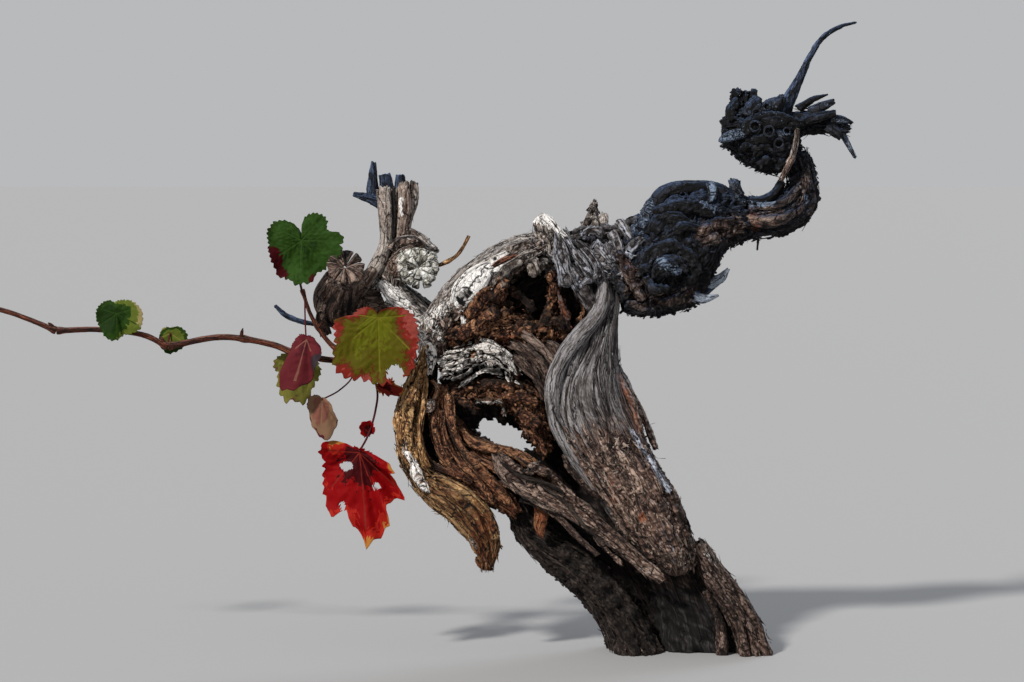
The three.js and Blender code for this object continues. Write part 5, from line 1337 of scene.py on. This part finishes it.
# a leaf lies flat round the joint of its stalk at first: x to the side, z up, its tip straight down
leafPaints = {
    "olive": "47430a", "lime": "50520c", "bronze": "4c2a0e", "crimson": "681d15", "blood": "340508",
    "scarlet": "740407", "flame": "8e1c13", "amber": "94602a", "moss": "172a0a", "fern": "20360d",
    "maroon": "34070b", "plum": "461a20", "dusk": "2e252a", "rose": "551d22", "straw": "6c6a30",
    "pear": "4f5a20", "tan": "705642", "blush": "6c453a", "hay": "7e734b", "vein": "5c5916",
    "rosy": "7c3730", "sedge": "263e15",
}


def leafMaterial(name):
    material, tree, shader = newMaterial("leaf_" + name)
    place = addNode(tree, "ShaderNodeTexCoord").outputs["Object"]
    crinkle = addNode(tree, "ShaderNodeTexNoise", {"Vector": place, "Scale": 420, "Detail": 3})
    bump = addNode(tree, "ShaderNodeBump", {"Height": crinkle.outputs[0], "Strength": 0.35, "Distance": 0.0006})
    tree.links.new(bump.outputs[0], shader.inputs["Normal"])
    shader.inputs["Base Color"].default_value = linear(leafPaints[name])
    shader.inputs["Roughness"].default_value = 0.65
    shader.inputs["Specular IOR Level"].default_value = 0.05
    return material


leafMaterials = {name: leafMaterial(name) for name in leafPaints}


def headings(degrees):
    turn = np.radians(degrees)
    return np.stack([np.sin(turn), -np.cos(turn)], -1)


# how far each flat place is from the nearest vein, main veins first and their side veins after
def veinGaps(flat, leaf, rimAt):
    gaps = []
    for share, side in ((1, 0), *((0.14 + 0.15 * k, side) for k in range(5) for side in (-1, 1))):
        nearest = np.full(len(flat), 99.0)
        for angle in leaf["veins"]:
            length = float(rimAt(angle))
            start = headings(angle) * length * (share if side else 0)
            run = headings(angle + side * 46) * length * (0.92 if not side else 0.5 * (1.1 - share))
            along = np.clip((flat - start) @ run / (run @ run), 0, 1)
            nearest = np.minimum(nearest, np.linalg.norm(flat - start - along[:, None] * run, axis=1))
        gaps.append(nearest)
    return gaps[0], np.min(gaps[1:], axis=0)


def leafBlade(leaf, seed):
    rings, spokes = leaf.get("grid", (34, 130))
    bm = bmesh.new()
    bmesh.ops.create_grid(bm, x_segments=rings, y_segments=spokes, size=1)
    mesh = bpy.data.meshes.new("blade")
    bm.to_mesh(mesh)
    share = getRows(mesh, None) * 0.5 + 0.5
    reach, turn = share[:, 0] ** 0.85, share[:, 1] * 360 - 180
    angles, reaches = np.array(leaf["outline"], float).T
    rimAt = lambda degrees: np.interp(degrees, angles, reaches, period=360)
    rim = rimAt(turn)
    circle = np.stack([np.sin(np.radians(turn)), np.cos(np.radians(turn)), np.zeros(len(turn))], 1)
    teeth = np.abs((turn * leaf.get("teeth", 40) / 360) % 1 - 0.4) * 2
    rim = rim * (1 - leaf.get("tooth", 0.05) * teeth) + leaf.get("ragged", 1.0) * noiseAt(circle * 9, seed)
    flat = np.stack([circle[:, 0], -circle[:, 1]], 1) * (rim * reach)[:, None]
    size = reaches.max()
    level = np.stack([flat[:, 0], flat[:, 1], np.zeros(len(flat))], 1)

    mainGap, sideGap = veinGaps(flat, leaf, rimAt)
    puff = leaf.get("puff", 1.2)
    height = puff * (1 - np.exp(-(np.minimum(mainGap, sideGap * 1.3) / 4.5) ** 2)) * (1 - 0.5 * reach)
    height -= 0.35 * np.exp(-(mainGap / 0.9) ** 2) + 0.2 * np.exp(-(sideGap / 0.7) ** 2)
    height += leaf.get("wave", 3.0) * reach ** 2 * noiseAt(level / 19, seed + 1)
    height += 0.6 * noiseAt(level / 5, seed + 2)
    for angle, rise, width in leaf.get("creases", ()):
        apart = (turn - angle + 180) % 360 - 180
        height += rise * reach * np.exp(-(apart / width) ** 2)
    height += leaf.get("curl", 0) * (flat[:, 1] / size) ** 2 * size + leaf.get("cup", 0) * (flat[:, 0] / size) ** 2 * size

    blotch = 0.16 * noiseAt(level / 13, seed + 3) + 0.14 * noiseAt(level / 4, seed + 4) + 0.08 * noiseAt(level / 1.7, seed + 5)
    blotch *= leaf.get("blotch", 1)
    tint = reach + blotch + (flat @ np.array(leaf.get("lean", (0, 0)), float)) / size
    for x, z, radius, amount in leaf.get("patches", ()):
        apart = np.hypot(flat[:, 0] - x, flat[:, 1] - z) / radius + blotch
        tint += amount * (1 - smoothStep(apart, 0.75, 1.1))
    tint[(mainGap < 0.45) & (reach < 0.8) & (tint < leaf["zones"][-1][0])] = -9
    up = unit(-np.array(leaf["tip"], float))
    face = np.array(leaf["face"], float)
    face = unit(face - (face @ up) * up)
    side = np.cross(up, face)
    place = np.array(leaf["joint"]) + flat[:, :1] * side + flat[:, 1:] * up + height[:, None] * face
    mesh.vertices.foreach_set("co", (place * mm).ravel())
    setRows(mesh, "tint", "FLOAT", tint)
    keep = np.ones(len(flat), bool)
    for x, z, wide, high in leaf.get("holes", ()):
        keep &= np.hypot((flat[:, 0] - x) / wide, (flat[:, 1] - z) / high) + 1.6 * blotch > 1
    bm.clear()
    bm.from_mesh(mesh)
    bm.verts.ensure_lookup_table()
    lost = [face for face in bm.faces if not any(keep[vert.index] for vert in face.verts)]
    bmesh.ops.delete(bm, geom=lost, context="FACES")
    bmesh.ops.remove_doubles(bm, verts=bm.verts, dist=1e-6)
    loose = [vert for vert in bm.verts if not vert.link_faces]
    bmesh.ops.delete(bm, geom=loose, context="VERTS")
    bmesh.ops.recalc_face_normals(bm, faces=bm.faces)
    bmesh.ops.solidify(bm, geom=bm.faces[:], thickness=0.4 * mm)
    bm.to_mesh(mesh)
    bm.free()
    return mesh


# each face takes the plain colour of its zone, by the tint of its first corner
def leafPiece(node, leaf):
    seed = len(bpy.data.objects) * 17
    stalk = limbPath(leaf["stalk"])
    stalkMesh = tubeMesh(stalk, max(12, int(stalk["length"])), 8)
    setRows(stalkMesh, "tint", "FLOAT", np.full(len(stalkMesh.vertices), 99.0))
    extras = [leafBlade(extra, seed + 5) for extra in leaf.get("extras", ())]
    mesh = joinMeshes([leafBlade(leaf, seed), stalkMesh] + extras, node)
    mesh.shade_smooth()
    piece = addPiece(node + "_blade", mesh, leafMaterials[leaf.get("vein", "vein")], [node])
    for limit, name in leaf["zones"]:
        mesh.materials.append(leafMaterials[name])
    mesh.materials.append(leafMaterials[leaf.get("stalkPaint", "plum")])
    tint = getRows(mesh, "tint", "value", 1)
    first = np.empty(len(mesh.polygons), int)
    corner = np.empty(len(mesh.loops), int)
    mesh.polygons.foreach_get("loop_start", first)
    mesh.loops.foreach_get("vertex_index", corner)
    faceTint = tint[corner[first]]
    limits = [limit for limit, name in leaf["zones"]]
    zone = 1 + np.searchsorted(limits, faceTint)
    zone[faceTint < -5] = 0
    mesh.polygons.foreach_set("material_index", np.minimum(zone, len(limits) + 1).astype(int))
    mesh.attributes.remove(mesh.attributes["tint"])
    return piece


leaves = {
    "leaf_large": {
        "slot": "leaf_turning", "joint": (-320, -42, 340), "tip": (0.02, -0.08, -1), "face": (-0.1, -1, 0.1),
        "stalk": [(-343, -7, 299, 1.3), (-335, -20, 322, 1.2), (-322, -34, 338, 1.1), (-320, -41, 340, 1)],
        "outline": [(-180, 2), (-125, 19), (-97, 26), (-89, 45), (-74, 47), (-57, 52), (-51, 60), (-41, 68), (-33, 69),
                    (-24, 69), (-16, 65), (-5, 66), (3, 69), (22, 68), (32, 65), (49, 53), (66, 45), (86, 39),
                    (98, 34), (123, 20), (139, 11)],
        "veins": (-100, -52, 0, 44, 92), "teeth": 44, "tooth": 0.07, "ragged": 1.6, "wave": 4, "puff": 1.4,
        "curl": 0.1, "creases": [(0, -3, 18), (-60, 3, 20), (45, 2, 16)], "holes": [(16, -56, 11, 9)],
        "lean": (0.2, 0.13), "patches": [(-35, -52, 10, 0.3), (30, -8, 16, 0.4), (-20, 6, 12, 0.4), (-40, -10, 8, 0.3), (-14, -60, 6, 0.5)],
        "zones": [(0.36, "lime"), (0.76, "olive"), (0.94, "bronze"), (1.16, "crimson"), (9, "rosy")], "grid": (46, 190),
        "blotch": 1.35,
    },
    "leaf_red": {
        "slot": "leaf_red", "joint": (-340, -20, 204), "tip": (0.02, -0.1, -1), "face": (-0.2, -1, 0.1),
        "stalk": [(-335, 2, 300, 1.2), (-323, -8, 268, 1.1), (-324, -14, 246, 1.1), (-331, -18, 222, 1.1), (-340, -20, 205, 1)],
        "outline": [(-180, 3), (-130, 9), (-116, 30), (-107, 38), (-89, 41), (-75, 38), (-58, 47), (-42, 55), (-31, 68),
                    (-23, 71), (-17, 62), (-13, 60), (-9, 70), (-4, 76), (2, 90), (4, 98), (8, 94), (10, 89), (18, 86),
                    (23, 80), (26, 68), (31, 58), (37, 62), (43, 65), (48, 51), (55, 42), (66, 40), (72, 28), (82, 15),
                    (110, 7)],
        "veins": (-96, -42, 4, 20, 44), "teeth": 38, "tooth": 0.06, "ragged": 2.6, "wave": 5, "puff": 1.5,
        "creases": [(42, -12, 9), (27, 7, 8), (14, -5, 4), (7, 4, 4), (-20, 4, 16), (-60, -5, 14), (-100, 6, 16), (60, 5, 9)],
        "holes": [(-14, -13, 8, 6), (17, -34, 5, 5), (-18, -53, 4.5, 5.5), (-23, -32, 2.4, 2)],
        "lean": (0.1, -0.22), "patches": [(4, -92, 10, 0.5), (-22, 6, 9, 0.6), (37, -14, 8, 0.6), (27, -74, 8, 0.3)],
        "zones": [(0.25, "maroon"), (0.5, "blood"), (1.02, "scarlet"), (1.36, "flame"), (9, "amber")], "vein": "crimson",
        "grid": (50, 190),
        "extras": [{
            "joint": (-331, -16, 224), "tip": (-0.4, -0.2, 1), "face": (0, -1, 0.3),
            "outline": [(-150, 4), (-60, 9), (-30, 13), (0, 14), (20, 12), (60, 9), (150, 4)], "veins": (-20, 20),
            "ragged": 2.5, "wave": 6, "creases": [(0, 4, 20)], "zones": [(9, "scarlet")], "grid": (10, 36),
        }],
    },
    "leaf_green": {
        "slot": "leaf_green", "joint": (-397, -14, 415), "tip": (-0.05, -0.12, -1), "face": (-0.1, -1, 0.15),
        "stalk": [(-397, -9, 364, 1.2), (-401, -8, 384, 1.1), (-399, -9, 402, 1.1), (-397, -13, 414, 1)],
        "outline": [(-170, 8), (-147, 22), (-137, 27), (-120, 35), (-104, 36), (-88, 34), (-72, 34), (-58, 36), (-45, 38),
                    (-32, 44), (-22, 42), (-12, 42), (-3, 47), (6, 44), (13, 46), (20, 44), (28, 36), (42, 38), (56, 38),
                    (66, 41), (76, 44), (86, 42), (95, 44), (104, 40), (112, 29), (120, 29), (128, 33), (138, 34),
                    (146, 34), (156, 31), (166, 29), (176, 24)],
        "veins": (-115, -55, 0, 48, 92, 140), "teeth": 46, "tooth": 0.06, "ragged": 1.2, "wave": 4, "puff": 1.6,
        "creases": [(-28, -7, 16), (-90, 5, 24), (5, 4, 18), (40, -4, 14), (-165, -6, 14)],
        "lean": (-0.2, -0.04), "patches": [(-30, -20, 13, 0.9), (-22, -34, 9, 0.9), (14, -38, 5, 0.9), (2, 3, 9, 0.25)],
        "zones": [(0.3, "moss"), (0.6, "fern"), (0.92, "sedge"), (1.12, "fern"), (1.3, "moss"), (9, "maroon")],
        "vein": "sedge", "grid": (40, 180), "blotch": 1.3,
    },
    "leaf_pink": {
        "slot": "leaf_pink", "joint": (-391, -36, 318), "tip": (-0.1, -0.1, -1), "face": (-0.4, -1, 0.1),
        "stalk": [(-394, -9, 360, 1), (-394, -12, 344, 0.8), (-392, -30, 324, 0.8), (-391, -35, 319, 0.8)],
        "outline": [(-175, 3), (-110, 10), (-75, 14), (-50, 20), (-38, 34), (-30, 50), (-20, 57), (-8, 52), (5, 44), (20, 36),
                    (35, 30), (55, 22), (85, 12), (120, 7)],
        "veins": (-50, -12, 30), "teeth": 26, "tooth": 0.05, "wave": 3, "ragged": 1.2,
        "creases": [(8, -9, 9), (-30, 5, 16), (34, 5, 12)], "lean": (0.45, 0.1), "patches": [(13, -22, 9, 0.5)],
        "zones": [(0.2, "plum"), (0.95, "rose"), (1.12, "plum"), (9, "dusk")], "vein": "blush", "grid": (28, 90),
    },
    "leaf_yellow": {
        "slot": "leaf_yellow", "joint": (-402, -12, 296), "tip": (0.05, 0.05, -1), "face": (0.2, -1, 0.2),
        "stalk": [(-402, -20, 303, 1), (-403, -16, 300, 0.9), (-402, -13, 297, 0.8)],
        "outline": [(-170, 5), (-120, 16), (-95, 24), (-75, 26), (-60, 24), (-45, 32), (-30, 40), (-20, 46), (-8, 42), (5, 48),
                    (15, 43), (28, 33), (45, 30), (60, 28), (80, 22), (110, 14), (150, 7)],
        "veins": (-85, -40, 0, 42, 80), "teeth": 30, "tooth": 0.1, "wave": 3, "ragged": 1.6,
        "creases": [(-20, 3, 14), (20, -3, 12)], "zones": [(0.5, "pear"), (1.0, "straw"), (9, "blush")], "vein": "straw",
        "grid": (26, 100),
    },
    "leaf_brown": {
        "slot": "leaf_brown", "joint": (-377, -20, 256), "tip": (0.08, -0.05, -1), "face": (-0.4, -1, 0.1),
        "stalk": [(-351, -12, 298, 0.9), (-347, -14, 280, 0.8), (-360, -18, 266, 0.8), (-377, -20, 257, 0.8)],
        "outline": [(-175, 3), (-105, 14), (-80, 17), (-55, 19), (-35, 25), (-15, 32), (0, 41), (10, 39), (16, 32), (25, 28),
                    (35, 26), (50, 15), (90, 6), (130, 4)],
        "veins": (-45, -8, 28), "teeth": 24, "tooth": 0.05, "wave": 3, "creases": [(22, -7, 10), (-20, 4, 16)],
        "patches": [(-4, -14, 9, -0.3)], "zones": [(0.55, "blush"), (1.0, "tan"), (9, "plum")], "vein": "tan", "grid": (26, 90),
    },
    "leaf_withered": {
        "slot": "leaf_brown", "joint": (-318, -30, 273), "tip": (0.9, -0.1, -0.3), "face": (-0.2, -1, 0.4),
        "stalk": [(-326, 10, 300, 1), (-318, -4, 290, 0.9), (-317, -20, 278, 0.8), (-318, -29, 273, 0.8)],
        "outline": [(-170, 3), (-90, 8), (-50, 12), (-20, 18), (0, 27), (12, 22), (30, 14), (60, 9), (110, 6)],
        "veins": (-20, 10), "teeth": 16, "tooth": 0.2, "wave": 6, "ragged": 2.5, "creases": [(0, -7, 18), (30, 5, 14)],
        "zones": [(0.4, "blood"), (0.9, "crimson"), (9, "amber")], "vein": "blood", "grid": (18, 60),
    },
    "leaf_cane_inner": {
        "slot": "leaf_green", "joint": (-526, -28, 324), "tip": (-0.1, -0.1, -1), "face": (0.1, -1, 0.2),
        "stalk": [(-528, -34, 312, 1), (-527, -30, 320, 0.9), (-526, -28, 324, 0.8)],
        "outline": [(-170, 5), (-120, 9), (-80, 11), (-50, 14), (-25, 18), (0, 22), (20, 20), (45, 20), (70, 19), (95, 17),
                    (125, 12), (155, 7)],
        "veins": (-60, 0, 55), "teeth": 22, "tooth": 0.08, "wave": 3, "creases": [(-10, -3, 20)], "lean": (-0.2, 0.2),
        "zones": [(0.6, "pear"), (1.0, "fern"), (9, "straw")], "vein": "straw", "grid": (20, 70),
    },
    "leaf_cane_outer": {
        "slot": "leaf_green", "joint": (-577, -44, 344), "tip": (0, -0.2, -1), "face": (0.05, -1, 0.1),
        "stalk": [(-587, -37, 327, 1), (-585, -36, 336, 0.9), (-577, -43, 344, 0.8)],
        "outline": [(-170, 12), (-150, 17), (-125, 19), (-100, 21), (-75, 21), (-50, 22), (-28, 26), (-10, 29), (5, 27),
                    (20, 22), (38, 26), (55, 29), (72, 28), (90, 27), (110, 24), (130, 20), (150, 17)],
        "veins": (-110, -55, 0, 60, 110), "teeth": 34, "tooth": 0.08, "wave": 4, "creases": [(24, -6, 10), (-10, 4, 20)],
        "lean": (0.7, 0.1), "zones": [(0.5, "moss"), (0.85, "fern"), (1.35, "pear"), (9, "hay")], "vein": "fern",
        "grid": (24, 90),
    },
    "leaf_cane_tip": {
        "slot": "leaf_green", "joint": (-757, -46, 386), "tip": (-0.3, -0.4, -0.8), "face": (-0.1, -1, 0.5),
        "stalk": [(-753, -44, 362, 1), (-753, -42, 372, 0.9), (-757, -45, 385, 0.8)],
        "outline": [(-170, 6), (-130, 12), (-95, 18), (-70, 20), (-50, 19), (-30, 25), (-10, 32), (8, 30), (25, 24), (45, 20),
                    (65, 21), (90, 18), (125, 12), (155, 7)],
        "veins": (-85, -45, 0, 45, 85), "teeth": 30, "tooth": 0.07, "wave": 3, "creases": [(0, 4, 24)],
        "zones": [(0.6, "fern"), (1.0, "pear"), (9, "blush")], "vein": "straw", "grid": (22, 80),
    },
}
for node, leaf in leaves.items():
    leafPiece(node, leaf)
print("leaves made")


stage = {"target": (-188, 0, 314), "distance": 2844, "elevation": 4, "lens": 100, "floor": 30000}


def makeStage():
    bm = bmesh.new()
    bmesh.ops.create_grid(bm, x_segments=4, y_segments=4, size=stage["floor"] * mm)
    mesh = bpy.data.meshes.new("floor")
    bm.to_mesh(mesh)
    bm.free()
    floor = bpy.data.objects.new("floor", mesh)
    bpy.context.scene.collection.objects.link(floor)
    material, tree, shader = newMaterial("pale_floor")
    shader.inputs["Base Color"].default_value = (0.303, 0.304, 0.308, 1)
    shader.inputs["Roughness"].default_value = 0.9
    mesh.materials.append(material)

    world = bpy.data.worlds.new("studio")
    bpy.context.scene.world = world
    world.use_nodes = True
    world.node_tree.nodes["Background"].inputs["Color"].default_value = (0.97, 0.98, 1, 1)
    world.node_tree.nodes["Background"].inputs["Strength"].default_value = 0.5
    bpy.context.scene.view_settings.view_transform = "Standard"

    for name, place, size, power, colour in (
        ("key", (-1500, -1500, 2000), 0.1, 4.0, (1, 0.96, 0.91)),
        ("rim", (900, 1500, 1500), 0.5, 1.0, (0.8, 0.88, 1)),
    ):
        light = bpy.data.lights.new(name, "SUN")
        light.energy = power
        light.angle = size
        light.color = colour
        lamp = bpy.data.objects.new(name, light)
        lamp.location = Vector(place) * mm
        aim = Vector(stage["target"]) * mm - lamp.location
        lamp.rotation_euler = aim.to_track_quat("-Z", "Y").to_euler()
        bpy.context.scene.collection.objects.link(lamp)

    camera = bpy.data.objects.new("camera", bpy.data.cameras.new("camera"))
    camera.data.lens = stage["lens"]
    camera.data.sensor_width = 36
    tilt = math.radians(stage["elevation"])
    away = Vector((0, -math.cos(tilt), math.sin(tilt))) * stage["distance"]
    camera.location = (Vector(stage["target"]) + away) * mm
    camera.rotation_euler = (math.pi / 2 - tilt, 0, 0)
    bpy.context.scene.collection.objects.link(camera)
    bpy.context.scene.camera = camera


makeStage()
print("stage made")
